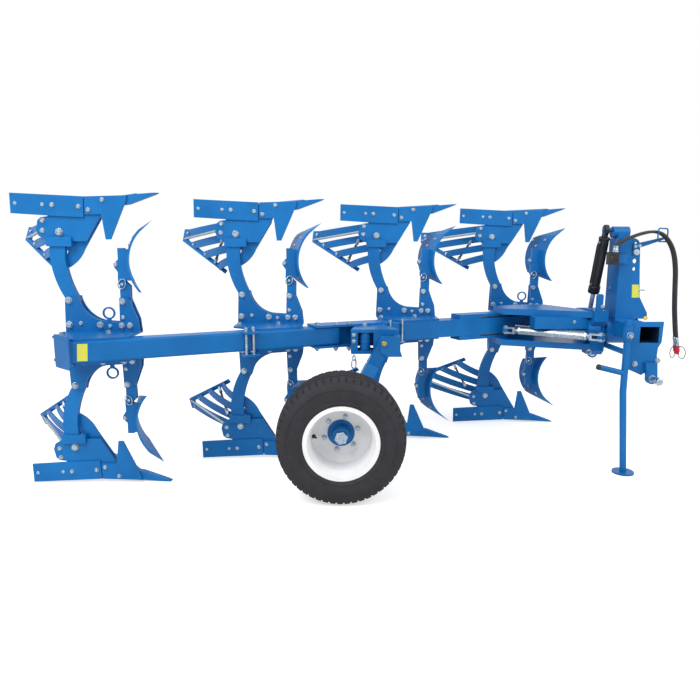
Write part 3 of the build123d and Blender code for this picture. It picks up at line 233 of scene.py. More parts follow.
def arc(centre, across, upward, radius, start, end, steps):
    """Points on a circle in millimetres and degrees, from the direction across to upward."""
    angles = [math.radians(start + (end - start) * i / steps) for i in range(steps + 1)]
    return [centre + (across * math.cos(a) + upward * math.sin(a)) * radius / 1000 for a in angles]


# %% [markdown]
# ## From corners to a piece
#
# Every piece is finished in the same way: its faces are turned outwards, a plate's edges are
# rounded, edges shallower than 30 degrees are smoothed and the others stay crisp, and the piece is
# tied to the body that carries it, so that it moves with the joints.

# %% Finished pieces


def make(shape, name, body, material, smooth=30.0, bevel=0.0):
    """Turn gathered corners into a painted piece that rides on a body."""
    mesh = bpy.data.meshes.new(name)
    mesh.from_pydata([tuple(corner) for corner in shape.corners], [], shape.faces)
    work = bmesh.new()
    work.from_mesh(mesh)
    bmesh.ops.recalc_face_normals(work, faces=work.faces)
    if bevel:
        edges = [edge for edge in work.edges if edge.is_manifold and edge.calc_face_angle(0.0) > 0.6]
        bmesh.ops.bevel(work, geom=edges, offset=bevel / 1000, segments=2, affect="EDGES", profile=0.5)
    work.to_mesh(mesh)
    work.free()
    piece = bpy.data.objects.new(name, mesh)
    scene.collection.objects.link(piece)
    mesh.materials.append(material)
    mesh.polygons.foreach_set("use_smooth", [True] * len(mesh.polygons))
    mesh.set_sharp_from_angle(angle=math.radians(smooth))
    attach(piece, body)
    print(name, "faces", len(mesh.polygons))
    return piece


# %% [markdown]
# ## Finding the solids' faces
#
# Bolts and clips sit on the solids, so their seats are looked up and not typed in: a straight
# line is drawn onto a solid, and the point and facing where it lands are the seat. For pieces
# that are repeated on each body the line runs across the plough, and for a piece that was marked
# once on the photograph it runs from the camera through that pixel. A seat that was typed in would
# float or sink as soon as a plate moved.

# %% Seats on the solids
bpy.context.view_layer.update()
TREES = {}
for name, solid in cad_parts.items():
    solid_corners = [solid.matrix_world @ vertex.co for vertex in solid.data.vertices]
    TREES[name] = BVHTree.FromPolygons(solid_corners, [tuple(face.vertices) for face in solid.data.polygons])
PIXELS_WIDE = 700
LENS_PIXELS = camera_data.lens / camera_data.sensor_width * PIXELS_WIDE


def seat(start, along, names):
    """The nearest point of the named solids on a straight line, and the direction it faces."""
    found = None
    for name in names:
        point, facing, _, distance = TREES[name].ray_cast(start, along)
        if point is not None and (found is None or distance < found[2]):
            found = (point, facing, distance)
    if found is None:
        return None
    point, facing, _ = found
    return point, (facing if facing.dot(along) < 0 else -facing)


def sighted(u, v, names):
    """The seat that the camera sees at a pixel of the photograph."""
    along = ahead * LENS_PIXELS + right * (u - PIXELS_WIDE / 2) + up * (PIXELS_WIDE / 2 - v)
    found = seat(CAMERA_PLACE, along.normalized(), names)
    if found is None:
        print("nothing seen at", u, v, names)
    return found


def spin_on(shape, found, profile, sides, turn=0.0):
    """Turn a profile on a seat, where one was found."""
    if found:
        spin(shape, *found, profile, sides, turn)


# %% [markdown]
# ## Colours and nodes
#
# Paint shops give colours as sRGB hex values, and the renderer works with linear light. One
# function turns the one into the other, and one small function adds any node with its settings
# and links, so that each finish below reads as a short recipe.

# %% Helpers for finishes


def hex_colour(code):
    """An sRGB hex value as a linear colour."""
    parts = [int(code[i:i + 2], 16) / 255 for i in (0, 2, 4)]
    linear = [v / 12.92 if v <= 0.04045 else ((v + 0.055) / 1.055) ** 2.4 for v in parts]
    return (*linear, 1.0)


def new_material(name):
    """An empty node material."""
    material = bpy.data.materials.new(name)
    material.use_nodes = True
    material.node_tree.nodes.clear()
    return material


def add_node(material, kind, settings=None, links=None, ramp=None):
    """Add one node; links maps its input's name or number to an output, settings to a value."""
    node = material.node_tree.nodes.new(kind)
    for key, value in (settings or {}).items():
        if isinstance(key, str) and hasattr(node, key):
            setattr(node, key, value)
        else:
            node.inputs[key].default_value = value
    for key, output in (links or {}).items():
        material.node_tree.links.new(output, node.inputs[key])
    if ramp:
        stops = node.color_ramp.elements
        while len(stops) < len(ramp):
            stops.new(0.5)
        for stop, (place, colour) in zip(stops, ramp):
            stop.position = place
            stop.color = colour
    return node


# %% [markdown]
# ## Blue enamel
#
# The frame is welded steel, shot-blasted and sprayed with a glossy enamel. Sprayed enamel is
# slightly uneven, like the skin of an orange, with waves a few millimetres wide, and its shade
# changes slowly across a plate. A picture could be wrapped round each plate for this, but noise in
# the object's own space needs no unwrapping and leaves no seams. One noise moves the shade and the
# roughness, and a fine one is the skin. The IOR of a paint resin is about 1.5 and it is not a
# metal, because light meets the pigment and not the steel. Its shine is turned down to match the
# photograph, in which the blue stays deep on every face.

# %% Blue enamel


def enamel(name, colour, shade, roughness):
    """Sprayed gloss paint with a faint orange skin and slow changes of shade."""
    # A scale of 3.5 gives patches about 290 mm wide, and 260 gives waves about 4 mm wide
    material = new_material(name)
    place = add_node(material, "ShaderNodeTexCoord")
    clouds = add_node(material, "ShaderNodeTexNoise", {"Scale": 3.5, "Detail": 5.0, "Roughness": 0.6},
                      {"Vector": place.outputs["Object"]})
    tint = add_node(material, "ShaderNodeValToRGB", None, {"Fac": clouds.outputs["Fac"]},
                    [(0.35, hex_colour(shade)), (0.62, hex_colour(colour))])
    skin = add_node(material, "ShaderNodeTexNoise", {"Scale": 260.0, "Detail": 2.0},
                    {"Vector": place.outputs["Object"]})
    dull = add_node(material, "ShaderNodeMapRange", {"To Min": roughness - 0.05, "To Max": roughness + 0.09},
                    {"Value": clouds.outputs["Fac"]})
    bump = add_node(material, "ShaderNodeBump", {"Strength": 0.05, "Distance": 0.001},
                    {"Height": skin.outputs["Fac"]})
    paint = add_node(material, "ShaderNodeBsdfPrincipled",
                     {"IOR": 1.5, "Specular IOR Level": 0.22, "Coat Weight": 0.06, "Coat Roughness": 0.15},
                     {"Base Color": tint.outputs["Color"], "Roughness": dull.outputs["Result"],
                      "Normal": bump.outputs["Normal"]})
    add_node(material, "ShaderNodeOutputMaterial", None, {"Surface": paint.outputs["BSDF"]})
    return material


frame_blue = enamel("blue_enamel", "0d6cb2", "0a62a4", 0.36)
body_blue = enamel("blue_enamel_bodies", "0f73ba", "0c69ac", 0.38)
print("enamels", frame_blue.name, body_blue.name)

# %% [markdown]
# ## Zinc and chrome
#
# Bolts and turnbuckles are plated with zinc: a metal with a soft, slightly mottled shine. Its greys
# are tinted blue, which is a painted reflection of the blue paint round it. The cylinder's rod is hard
# chromed and ground, which leaves rings too fine to see. A metal of one colour and roughness would
# look like polished steel, so spots move both. Being metals, they keep the default IOR.

# %% Plated steel


def plated(name, light, dark, roughness, mottle):
    """A plated metal whose shine changes in spots about as wide as mottle, in millimetres."""
    material = new_material(name)
    place = add_node(material, "ShaderNodeTexCoord")
    spots = add_node(material, "ShaderNodeTexNoise", {"Scale": 1000.0 / mottle, "Detail": 3.0},
                     {"Vector": place.outputs["Object"]})
    tint = add_node(material, "ShaderNodeValToRGB", None, {"Fac": spots.outputs["Fac"]},
                    [(0.35, hex_colour(dark)), (0.65, hex_colour(light))])
    dull = add_node(material, "ShaderNodeMapRange", {"To Min": roughness - 0.06, "To Max": roughness + 0.1},
                    {"Value": spots.outputs["Fac"]})
    metal = add_node(material, "ShaderNodeBsdfPrincipled", {"Metallic": 1.0},
                     {"Base Color": tint.outputs["Color"], "Roughness": dull.outputs["Result"]})
    add_node(material, "ShaderNodeOutputMaterial", None, {"Surface": metal.outputs["BSDF"]})
    return material


# The zinc's two greys are tinted blue: a painted reflection of the blue paint round it
zinc = plated("zinc_with_painted_blue_reflection", "c6d3dd", "92a5b4", 0.34, 9.0)
chrome = plated("hard_chromed_rod", "dcdce2", "bcbcc6", 0.42, 40.0)
yellow_zinc = plated("yellow_passivated_zinc", "c9b46a", "a8924a", 0.36, 8.0)
print("plated metals", zinc.name, chrome.name, yellow_zinc.name)

# %% [markdown]
# ## Rubber, paint and plastic
#
# Tyre rubber and hose rubber are filled with carbon black, so they are never quite black in
# daylight: the surface is rough and scatters a grey sheen. The cylinder's barrel has a thin
# satin black paint. The caps, the plates and the wheel's pale paint follow the same recipe: what
# sets them apart is their colour, the width of their grain and how much they shine. The wheel's
# silver is made as a paint and not as a metal, because it looks nearly white all round in the
# photograph.

# %% Dull finishes


def dull_skin(name, light, dark, roughness, grain, depth, shine=0.3):
    """A dull skin with a grain of that width in millimetres; shine is its share of reflected light."""
    # The shade changes in patches about 70 mm wide
    material = new_material(name)
    place = add_node(material, "ShaderNodeTexCoord")
    cloud = add_node(material, "ShaderNodeTexNoise", {"Scale": 14.0, "Detail": 6.0, "Roughness": 0.7},
                     {"Vector": place.outputs["Object"]})
    tint = add_node(material, "ShaderNodeValToRGB", None, {"Fac": cloud.outputs["Fac"]},
                    [(0.3, hex_colour(dark)), (0.7, hex_colour(light))])
    fine = add_node(material, "ShaderNodeTexNoise", {"Scale": 1000.0 / grain, "Detail": 2.0},
                    {"Vector": place.outputs["Object"]})
    bump = add_node(material, "ShaderNodeBump", {"Strength": depth, "Distance": 0.001},
                    {"Height": fine.outputs["Fac"]})
    skin = add_node(material, "ShaderNodeBsdfPrincipled",
                    {"Roughness": roughness, "IOR": 1.52, "Specular IOR Level": shine},
                    {"Base Color": tint.outputs["Color"], "Normal": bump.outputs["Normal"]})
    add_node(material, "ShaderNodeOutputMaterial", None, {"Surface": skin.outputs["BSDF"]})
    return material


tyre_rubber = dull_skin("tyre_rubber", "353338", "29282c", 0.72, 3.0, 0.2, 0.25)
hose_rubber = dull_skin("hose_rubber", "3b3b3d", "29292b", 0.5, 2.0, 0.15)
black_satin = dull_skin("black_satin_paint", "212325", "191a1d", 0.38, 4.0, 0.06, 0.4)
rim_silver = dull_skin("silver_wheel_paint", "f3f3f3", "ebebec", 0.42, 3.0, 0.04, 0.5)
decal_yellow = dull_skin("blank_yellow_plate", "dcdb58", "d2cf50", 0.4, 3.0, 0.02)
cap_red = dull_skin("red_dust_cap_plastic", "d7263f", "c21f38", 0.35, 3.0, 0.05)
strap_brown = dull_skin("dust_cap_strap", "4a2328", "341a1e", 0.5, 2.0, 0.05)
reflector_amber = dull_skin("amber_reflector", "f3cf5a", "e2b445", 0.2, 2.0, 0.2)
print("materials", len(bpy.data.materials))

# %% [markdown]
# ## Paint on the solids
#
# A solid whose shape is right keeps it, and only gets its finish. Most of them are blue, so only
# the others are listed. The bodies get the slightly lighter blue that they show in the photograph.

# %% Finishes of the solids
FINISHES = {
    "width_adjuster": zinc, "frame_spindle": zinc, "screw_stays": zinc, "turnover_shaft": zinc,
    "lower_link_pins": zinc, "top_link_pin": zinc, "wheel_axle": zinc, "coupling_1": zinc, "coupling_2": zinc,
    "cylinder_rod": chrome, "cylinder_barrel": black_satin, "valve_block": black_satin,
    "wheel_rim": rim_silver, "tyre": tyre_rubber,
}
BODY_NODES = ("landslides", "share_carriers", "points", "shares", "shins", "slats", "frogs",
              "skimmers", "legs", "stay_bars", "skimmer_shanks")
for name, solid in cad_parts.items():
    finish = FINISHES.get(name, body_blue if name in BODY_NODES else frame_blue)
    solid.data.materials.clear()
    solid.data.materials.append(finish)
print("painted solids", len(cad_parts))

# %% [markdown]
# ## Hexagon bolts and nuts
#
# Standard proportions: across the flats 1.5 times the thread, a head 0.65 and a nut 0.8 times as
# high, both with chamfered corners, on a washer twice as wide as the thread. A nut shows a few
# turns of thread beyond it. A cylinder with six sides and a bevel could stand for a head, but spun
# from a profile it gets its flats, its chamfer and its dished top at once.

# %% Bolts and nuts
HEX_CORNER = 0.866
HEAD_HIGH, NUT_HIGH = 0.65, 0.8
WASHER_THICK = 0.16
THREAD_STEP = 0.12


def washer(shape, found, size):
    """A washer on a seat, twice as wide as the thread; it gives back its thickness."""
    thick = WASHER_THICK * size
    spin(shape, *found, disc(size, -1, thick, 0.8, 0.5), 28)
    return thick


def bolt_head(shape, found, size):
    """A hexagon head on a washer, where a seat was found; size is the thread in millimetres."""
    if not found:
        return
    thick = washer(shape, found, size)
    corner = HEX_CORNER * size
    top = thick + HEAD_HIGH * size
    dish = top - 0.06 * size
    spin(shape, *found, [(0, thick), (corner, thick), (corner, top - 0.1 * size), (0.86 * corner, top),
                         (0.55 * corner, top), (0.5 * corner, dish), (0, dish)], 6, 0.4)


def nut(shape, found, size, turns=4):
    """A hexagon nut on a washer, where a seat was found, with the bolt's thread beyond it."""
    if not found:
        return
    thick = washer(shape, found, size)
    corner = HEX_CORNER * size
    top = thick + NUT_HIGH * size
    spin(shape, *found, [(0, thick), (0.9 * corner, thick), (corner, thick + 0.08 * size),
                         (corner, top - 0.08 * size), (0.88 * corner, top), (0, top)], 6, 0.15)
    step = THREAD_STEP * size
    thread = [(0, top - 1)]
    for k in range(turns):
        thread += [(0.44 * size, top + k * step), (0.5 * size, top + (k + 0.5) * step)]
    thread += [(0.42 * size, top + turns * step), (0, top + turns * step)]
    spin(shape, *found, thread, 16)


# %% [markdown]
# ## Bolts of the bodies
#
# These bolts go across the plough, through the brackets, the frog, the landslide and the share
# carrier. Their places are written once and hold for all eight bodies. The larger ones also show
# their nuts on the far side. Each station's heads are one mesh, and its nuts another.

# %% Bolts of the bodies
# Each row: x and h of the centre, the thread, and the solids that the bolt holds
BODY_BOLTS = [
    (-544, 258, 20, ("brackets",)), (-551, 113, 20, ("brackets",)), (-370, 110, 20, ("brackets",)),
    (-244, 107, 18, ("brackets",)), (-195, 107, 18, ("brackets",)), (-232, 250, 18, ("brackets",)),
    (-483, 120, 12, ("brackets",)), (-312, 104, 11, ("brackets",)), (-234, 155, 12, ("brackets",)),
    (-580, 652, 22, ("frogs",)), (-671, 718, 14, ("frogs",)), (-676, 660, 14, ("frogs",)),
    (-605, 805, 13, ("landslides",)), (-454, 797, 13, ("landslides",)),
    (-401, 779, 13, ("share_carriers",)), (-317, 836, 13, ("share_carriers",)),
    (-264, 466, 13, ("skimmer_shanks",)),
]
# The lines that look for seats start this far to either side of the landslide's plane
HEAD_SIDE, NUT_SIDE = -70, 62
SHOWS_A_NUT = 15
for number, station in enumerate(STATIONS, 1):
    heads, nuts = Shape(), Shape()
    for x, h, size, names in BODY_BOLTS:
        for body in station:
            bolt_head(heads, seat(body.at(x, HEAD_SIDE, h), ALONG_Y, names), size)
            if size > SHOWS_A_NUT:
                nut(nuts, seat(body.at(x, NUT_SIDE, h), -ALONG_Y, names + ("frogs",)), size)
    make(heads, f"bolt_heads_{number}", "plough", zinc)
    make(nuts, f"nuts_{number}", "plough", zinc)

# %% [markdown]
# ## Bolts of the slats and of the flanges
#
# Each slat is held by a bolt on the stay bar, whose nut shows on the side of the landslide, and by
# flat countersunk heads at the shin. The flanges are bolted to the beam from above and below. All
# bolts of one kind are gathered in one mesh, because they share a finish and move together.

# %% Slat and flange bolts
SLAT_BOLTS = [(-1026, 661), (-969, 578), (-864, 510), (-742, 432)]
SHIN_BOLTS = [(-412, 742), (-446, 664), (-484, 586), (-522, 506)]
FLANGE_BOLTS = [(-548, 30), (-176, 30), (-548, -120), (-300, -70)]
FLUSH_HEAD = [(0, -2), (11, -2), (11, 0.4), (9.5, 1.2), (5, 1.2), (5, 0.3), (0, 0.3)]
LAND_SIDE, SLAT_SIDE = -40, 160
PAST_FLANGE = 200
stay_nuts, flush_heads, flange_heads = Shape(), Shape(), Shape()
for body in BODIES:
    for x, h in SLAT_BOLTS:
        nut(stay_nuts, seat(body.at(x, LAND_SIDE, h), ALONG_Y, ("stay_bars",)), 14, 3)
    for x, h in SHIN_BOLTS:
        found = seat(body.at(x, SLAT_SIDE, h), -ALONG_Y, ("shins", "slats"))
        spin_on(flush_heads, found, FLUSH_HEAD, 20)
    for x, y in FLANGE_BOLTS:
        found = seat(body.at(x, y, PAST_FLANGE), -UPWARD * body.half, ("station_flanges",))
        bolt_head(flange_heads, found, 18)
make(stay_nuts, "slat_nuts", "plough", zinc)
make(flush_heads, "slat_flush_bolts", "plough", zinc)
make(flange_heads, "flange_bolts", "plough", zinc)

# %% [markdown]
# ## Flush bolts of the landslides
#
# A landslide rubs along the furrow's wall, so its bolts have flat countersunk heads that lie
# almost level with the plate. Holes could be cut for them, but at this size a low plated disc in a
# ring of paint looks much the same and leaves the plate's mesh alone.

# %% Flush bolts
LANDSLIDE_BOLTS = [(-815, 814), (-661, 808)]
LOW_DOME = [(0, -0.5), (10, -0.5), (10, 0.8), (9, 1.6), (0, 2.0)]
PAINT_RING = [(14, -0.5), (14, 0.4), (13, 0.9), (10, 0.4), (10, -0.5)]
flush_bolts, flush_seats = Shape(), Shape()
for body in BODIES:
    for x, h in LANDSLIDE_BOLTS:
        found = seat(body.at(x, LAND_SIDE, h), ALONG_Y, ("landslides",))
        spin_on(flush_bolts, found, LOW_DOME, 24)
        spin_on(flush_seats, found, PAINT_RING, 24)
make(flush_bolts, "landslide_flush_bolts", "plough", zinc)
make(flush_seats, "landslide_bolt_seats", "plough", body_blue)

# %% [markdown]
# ## Clips of the skimmers
#
# The skimmer's height is set with a pin, kept by a spring clip: a ring of plated wire that lies
# aslant on the shank, with the pin's head inside it. A torus would be flat and round. This ring is
# drawn point by point, so that it is longer than wide and bends off the shank a little, as sprung
# wire does.

# %% Skimmer clips
CLIP_POINTS = 28
CLIP_WIDE, CLIP_HIGH, CLIP_BEND = 0.021, 0.030, 0.004
CLIP_WIRE = 3.2
clips = Shape()
for body in BODIES:
    place, facing = seat(body.at(-232, LAND_SIDE, 352), ALONG_Y, ("skimmer_shanks",))
    across = Vector((0.94, 0, -0.34 * body.half))
    upward = Vector((0.34, 0, 0.94 * body.half))
    centre = place + facing * 0.007
    ring = []
    for k in range(CLIP_POINTS):
        angle = 2 * math.pi * k / CLIP_POINTS
        flat = across * CLIP_WIDE * math.cos(angle) + upward * CLIP_HIGH * math.sin(angle)
        ring.append(centre + flat + facing * CLIP_BEND * math.cos(2 * angle))
    pipe(clips, ring, CLIP_WIRE, 8, closed=True)
    spin(clips, place, facing, disc(10, -1, 9, 1.5, 2), 20)
make(clips, "skimmer_clips", "plough", zinc)

# %% [markdown]
# ## Screw stays of the slats and bolts of the skimmers
#
# A threaded stay runs behind each set of slats, from the top slat down to the stay bar, and sets
# how the slats stand. It is a black rod between two plated forks, each with its lock nut. Both of
# its ends are looked up on the solids, so the rod always reaches from the one to the other. The
# skimmer's blade is held to its shank by three cup-square bolts, whose domes show from behind.

# %% Slat stays and skimmer bolts
FORK = [(0, -6), (10, -4), (12, 0), (12, 24), (10, 28), (0, 28)]
LOCK_NUT = [(8, 0), (14, 0), (15, 1.5), (15, 9), (14, 10.5), (8, 10.5)]
DOME = [(0, -2), (12, -2), (12, 1), (10.5, 4), (7, 6), (0, 7)]
SKIMMER_BOLTS = [(-201, 161, 630), (-200, 77, 582), (-153, 9, 630)]
STAY_LIFT, ROD_FROM, LOCK_NUT_FROM = 0.013, 0.03, 0.029
ROD_RADIUS = 8.5
stay_rods, stay_forks, skimmer_bolts = Shape(), Shape(), Shape()
for body in BODIES:
    upper_seat = seat(body.at(-759, 146, 620), Vector((0.66, 0.75, 0)), ("slats",))
    lower_seat = seat(body.at(-807, 299, 451), Vector((0.45, 0.89, 0)), ("stay_bars",))
    if upper_seat and lower_seat:
        first = upper_seat[0] + upper_seat[1] * STAY_LIFT
        last = lower_seat[0] + lower_seat[1] * STAY_LIFT
        along = (last - first).normalized()
        pipe(stay_rods, [first + along * ROD_FROM, last - along * ROD_FROM], ROD_RADIUS, 16)
        for end, inward in ((first, along), (last, -along)):
            spin(stay_forks, end, inward, FORK, 20)
            spin(stay_forks, end + inward * LOCK_NUT_FROM, inward, LOCK_NUT, 6)
    behind = Vector((-0.79, -0.25, 0.5 * body.half))
    for x, y, h in SKIMMER_BOLTS:
        found = seat(body.at(x, y, h) + behind * 0.05, -behind, ("skimmers",))
        spin_on(skimmer_bolts, found, DOME, 22)
make(stay_rods, "slat_stay_rods", "plough", black_satin)
make(stay_forks, "slat_stay_forks", "plough", zinc)
make(skimmer_bolts, "skimmer_bolts", "plough", zinc)

# %% [markdown]
# ## Clamps on the beam
#
# The third station is also clamped round the beam: a plate above and one below, drawn together by
# studs in front of the beam. The second station has longer studs in the same place. These were
# marked on the photograph, so their seats are sighted from the camera.

# %% Beam clamps
# Each row: the pixel, the stud's two ends off the axis in millimetres, and whether it has plates
CLAMPS = [(253.0, 341.5, 76, -76, True), (401.0, 334.0, 88, -64, False), (389.0, 334.0, 88, -64, False)]
CLAMP_OUTLINE = [(-62, 0), (34, 0), (34, 72), (-62, 72)]
CLAMP_THICK = 14
SECOND_STUD = -46
clamp_plates, clamp_studs = Shape(), Shape()


def stud(place, low, high):
    """A stud of the clamps between two heights in millimetres."""
    pipe(clamp_studs, [place + UPWARD * low / 1000, place + UPWARD * high / 1000], 8.5, 14)


for u, v, high, low, has_plates in CLAMPS:
    found = sighted(u, v, ("rear_beam", "front_beam"))
    if not found:
        continue
    place, facing = found
    out = Vector((facing.x, facing.y, 0)).normalized()
    along = UPWARD.cross(out)
    middle = Vector((place.x, place.y, AXIS / 1000)) + out * 0.014
    stud(middle, low, high)
    if not has_plates:
        nut(clamp_studs, (middle + UPWARD * (low + 4) / 1000, -UPWARD), 14, 3)
        continue
    for level in (high - CLAMP_THICK, low):
        corner = middle + UPWARD * level / 1000 - out * 0.05
        plate(clamp_plates, CLAMP_OUTLINE, corner, along, out, CLAMP_THICK)
    for shift in (0, SECOND_STUD):
        for side in (1, -1):
            end = middle + along * shift / 1000 + UPWARD * side * high / 1000
            nut(clamp_studs, (end, UPWARD * side), 14, 3)
    stud(middle + along * SECOND_STUD / 1000, low, high)
make(clamp_plates, "beam_clamp_plates", "plough", frame_blue, bevel=1.5)
make(clamp_studs, "beam_clamp_studs", "plough", zinc)

# %% [markdown]
# ## Bolts that were marked on the photograph
#
# The splice, the pivot block and the headstock have bolts in places of their own. Each row gives
# the pixel, the thread, and the solids on which the bolt may sit.

# %% Marked bolts
SPLICE_SOLIDS = ("splice", "wheel_bracket", "rear_beam", "front_beam")
MARKED_ON_PLOUGH = [
    (317.0, 324.6, 18, SPLICE_SOLIDS), (336.3, 324.4, 14, SPLICE_SOLIDS), (349.0, 323.4, 18, SPLICE_SOLIDS),
    (364.5, 325.0, 16, SPLICE_SOLIDS), (353.8, 335.0, 12, ("wheel_bracket",)),
    (353.8, 341.5, 12, ("wheel_bracket",)), (602.5, 306.7, 14, ("turning_head", "frame_upper_arm")),
    (574.5, 322.0, 12, ("frame_upper_arm",)),
]
MARKED_ON_HEADSTOCK = [
    (634.7, 364.0, 18, ("hitch_plates",)), (657.5, 360.5, 18, ("hitch_plates",)),
    (609.5, 288.0, 14, ("mast",)), (630.4, 336.0, 14, ("stand_sleeve", "hitch_plates")),
]
for marked, body, name in ((MARKED_ON_PLOUGH, "plough", "marked_bolts_plough"),
                           (MARKED_ON_HEADSTOCK, "headstock", "marked_bolts_headstock")):
    heads = Shape()
    for u, v, size, names in marked:
        bolt_head(heads, sighted(u, v, names), size)
    make(heads, name, body, zinc)

# %% [markdown]
# ## Ring, arm bolt and lower nuts
#
# A small ring hangs on a stud of the lower frame arm, and the wheel's arm carries a bolt with a
# yellow passivated finish, which turns with it. The splice's bolts go right through, so their nuts
# are looked up straight below the heads.

# %% Ring, arm bolt and lower nuts
RING_RADIUS, RING_DROP = 15, 0.014
frame_ring = Shape()
found = sighted(589.0, 350.0, ("frame_lower_arm",))
if found:
    place, facing = found
    ring_middle = place + facing * 0.0045 - UPWARD * RING_DROP
    sideways = UPWARD.cross(facing).normalized()
    pipe(frame_ring, arc(ring_middle, sideways, UPWARD, RING_RADIUS, 0, 345, 23), 3.2, 10, closed=True)
    spin(frame_ring, place, facing, disc(8, -1, 7, 1.5, 2), 18)
    make(frame_ring, "frame_ring", "plough", zinc)

arm_bolt = Shape()
bolt_head(arm_bolt, sighted(384.2, 343.9, ("wheel_arm",)), 16)
make(arm_bolt, "wheel_arm_bolt", "wheel_arm", yellow_zinc)

UNDER_THE_SPLICE = 0.3
under_nuts = Shape()
for u in (317.0, 335.8, 349.0):
    found = sighted(u, 324.6, ("splice",))
    if found:
        under = Vector((found[0].x, found[0].y, UNDER_THE_SPLICE))
        nut(under_nuts, seat(under, UPWARD, SPLICE_SOLIDS), 18)
make(under_nuts, "splice_nuts", "plough", zinc)

# %% [markdown]
# ## Spacer in the splice
#
# Between the splice's two long plates stands a spacer tube with a bolt through it, in front of
# the core.

# %% Spacer tube
found = sighted(335.8, 336.0, ("splice",))
if found:
    spacer = Shape()
    middle = Vector((found[0].x, found[0].y, AXIS / 1000)) + found[1] * 0.03
    spin(spacer, middle - UPWARD * 0.06, UPWARD, [(8, 0), (15, 0), (15, 120), (8, 120)], 24)
    make(spacer, "splice_spacer", "plough", frame_blue)

# %% [markdown]
# ## The tyre
#
# An implement tyre: five ribs run round it, parted by zigzag grooves, and the two outer ribs are
# cut into blocks that show at the rim of the silhouette. Its side wall has a bead ring and a few
# raised rings. A bump could fake the grooves, but it would leave the silhouette smooth. The mesh is
# a grid round the wheel, whose columns follow the zigzag, so the grooves have crisp edges.

# %% The tyre's section
SIDE_WALL = [(212, 146), (221, 150), (231, 154), (235, 157.5), (241, 157.5), (244, 155), (262, 158.5),
             (285, 160), (303, 158.5), (308, 157.5), (309.5, 159.5), (315, 158.8), (316.5, 156),
             (328, 151), (337, 145.5), (345, 139.5), (351, 133)]
BLOCKS = 54
GROOVES = (-66, -22, 22, 66)
GROOVE_HALF, GROOVE_DEEP = 6.5, 13.0
ZIGZAG = 5.0
CROWN_DROP, EDGE_DROP, BLOCK_EDGE = 10.0, 4.0, 120.0
SHOULDER, SHOULDER_SLOT, BLOCK_SLOT, RIB_SLOT = 348, 3.0, 8.0, 2.5


def tyre_ring(angle_share, in_slot):
    """One section of the tyre as (radius, across), at a share of a turn."""
    wave = angle_share * BLOCKS / 2
    zigzag = ZIGZAG * (4 * abs(wave - math.floor(wave + 0.5)) - 1)
    wall = [(radius - (SHOULDER_SLOT if in_slot and radius > SHOULDER else 0.0), across)
            for radius, across in SIDE_WALL]
    block_slot = BLOCK_SLOT if in_slot else 0.0
    crown = [(across, block_slot) for across in (-124, -118, -100)]
    for groove in GROOVES:
        centre = groove + zigzag
        crown += [(centre - GROOVE_HALF - 2, 0.0), (centre - GROOVE_HALF + 1, GROOVE_DEEP),
                  (centre + GROOVE_HALF - 1, GROOVE_DEEP), (centre + GROOVE_HALF + 2, 0.0)]
        if groove != GROOVES[-1]:
            crown.append((groove + 22, RIB_SLOT if in_slot else 0.0))
    crown += [(across, block_slot) for across in (100, 118, 124)]
    rows = [(radius, -across) for radius, across in wall]
    for across, drop in crown:
        edge_drop = EDGE_DROP if abs(across) > BLOCK_EDGE else 0.0
        outer = TYRE_RADIUS - CROWN_DROP * (across / BLOCK_EDGE) ** 2 - edge_drop
        rows.append((outer - drop, across))
    return rows + wall[::-1]


# %% [markdown]
# ## The tyre's mesh
#
# The section changes only where a block begins or ends, so four copies of it are enough for each
# block: two across the block and two in the slot behind it. Faces join each copy to the next, all
# the way round the wheel.

# %% The tyre's mesh
tyre_shape = Shape()
tyre_corners, tyre_faces = [], []
# The parts of one block round the wheel, and whether each lies in the slot behind the block
STEPS = ((0.0, False), (0.70, False), (0.75, True), (0.95, True))
for block in range(BLOCKS):
    for part, in_slot in STEPS:
        share = (block + part) / BLOCKS
        angle = share * 2 * math.pi
        for radius, across in tyre_ring(share, in_slot):
            tyre_corners.append(WHEEL + mm(radius * math.cos(angle), across, radius * math.sin(angle)))
ring_count = BLOCKS * len(STEPS)
row_count = len(tyre_ring(0.0, False))
for i in range(ring_count):
    here, there = i * row_count, (i + 1) % ring_count * row_count
    for k in range(row_count - 1):
        tyre_faces.append((here + k, here + k + 1, there + k + 1, there + k))
tyre_shape.add(tyre_corners, tyre_faces)
tyre_piece = make(tyre_shape, "implement_tyre", "wheel", tyre_rubber, smooth=28.0)
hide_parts("tyre")

# %% [markdown]
# ## Wheel nuts, valve and hub
#
# The rim is held by six nuts on a circle of 205 mm. The valve stands in the dished part of the rim.
# The hub ends in a large hexagon nut in a shallow collar.

# %% Wheel fittings
NUT_CIRCLE = 102.5
FIRST_NUT = 16
VALVE = [(0, -2), (13, -2), (13, 1.5), (9, 3.5), (6, 5), (5, 26), (5.6, 27), (5.6, 38), (4.5, 40), (0, 40)]
HUB_NUT = [(38.5, -24), (39.5, -23), (39.5, -1), (36, 1.5), (12, 1.5), (11, 3.5), (0, 3.5)]
wheel_nuts, valve, hub_nut = Shape(), Shape(), Shape()
for k in range(6):
    angle = math.radians(FIRST_NUT + 60 * k)
    start = WHEEL + mm(NUT_CIRCLE * math.cos(angle), -300, NUT_CIRCLE * math.sin(angle))
    nut(wheel_nuts, seat(start, ALONG_Y, ("wheel_rim", "wheel_hub")), 16)
make(wheel_nuts, "wheel_nuts", "wheel", zinc)
spin_on(valve, seat(WHEEL + mm(-160, -300, -18), ALONG_Y, ("wheel_rim",)), VALVE, 18)
make(valve, "tyre_valve", "wheel", black_satin)
place, facing = seat(WHEEL + mm(0, -400, 0), ALONG_Y, ("wheel_hub", "wheel_axle"))
spin(hub_nut, place, facing, HUB_NUT, 6, 0.2)
spin(hub_nut, place - facing * 0.024, facing, [(40, -3), (47, -2.5), (47, 0.5), (40, 1)], 40)
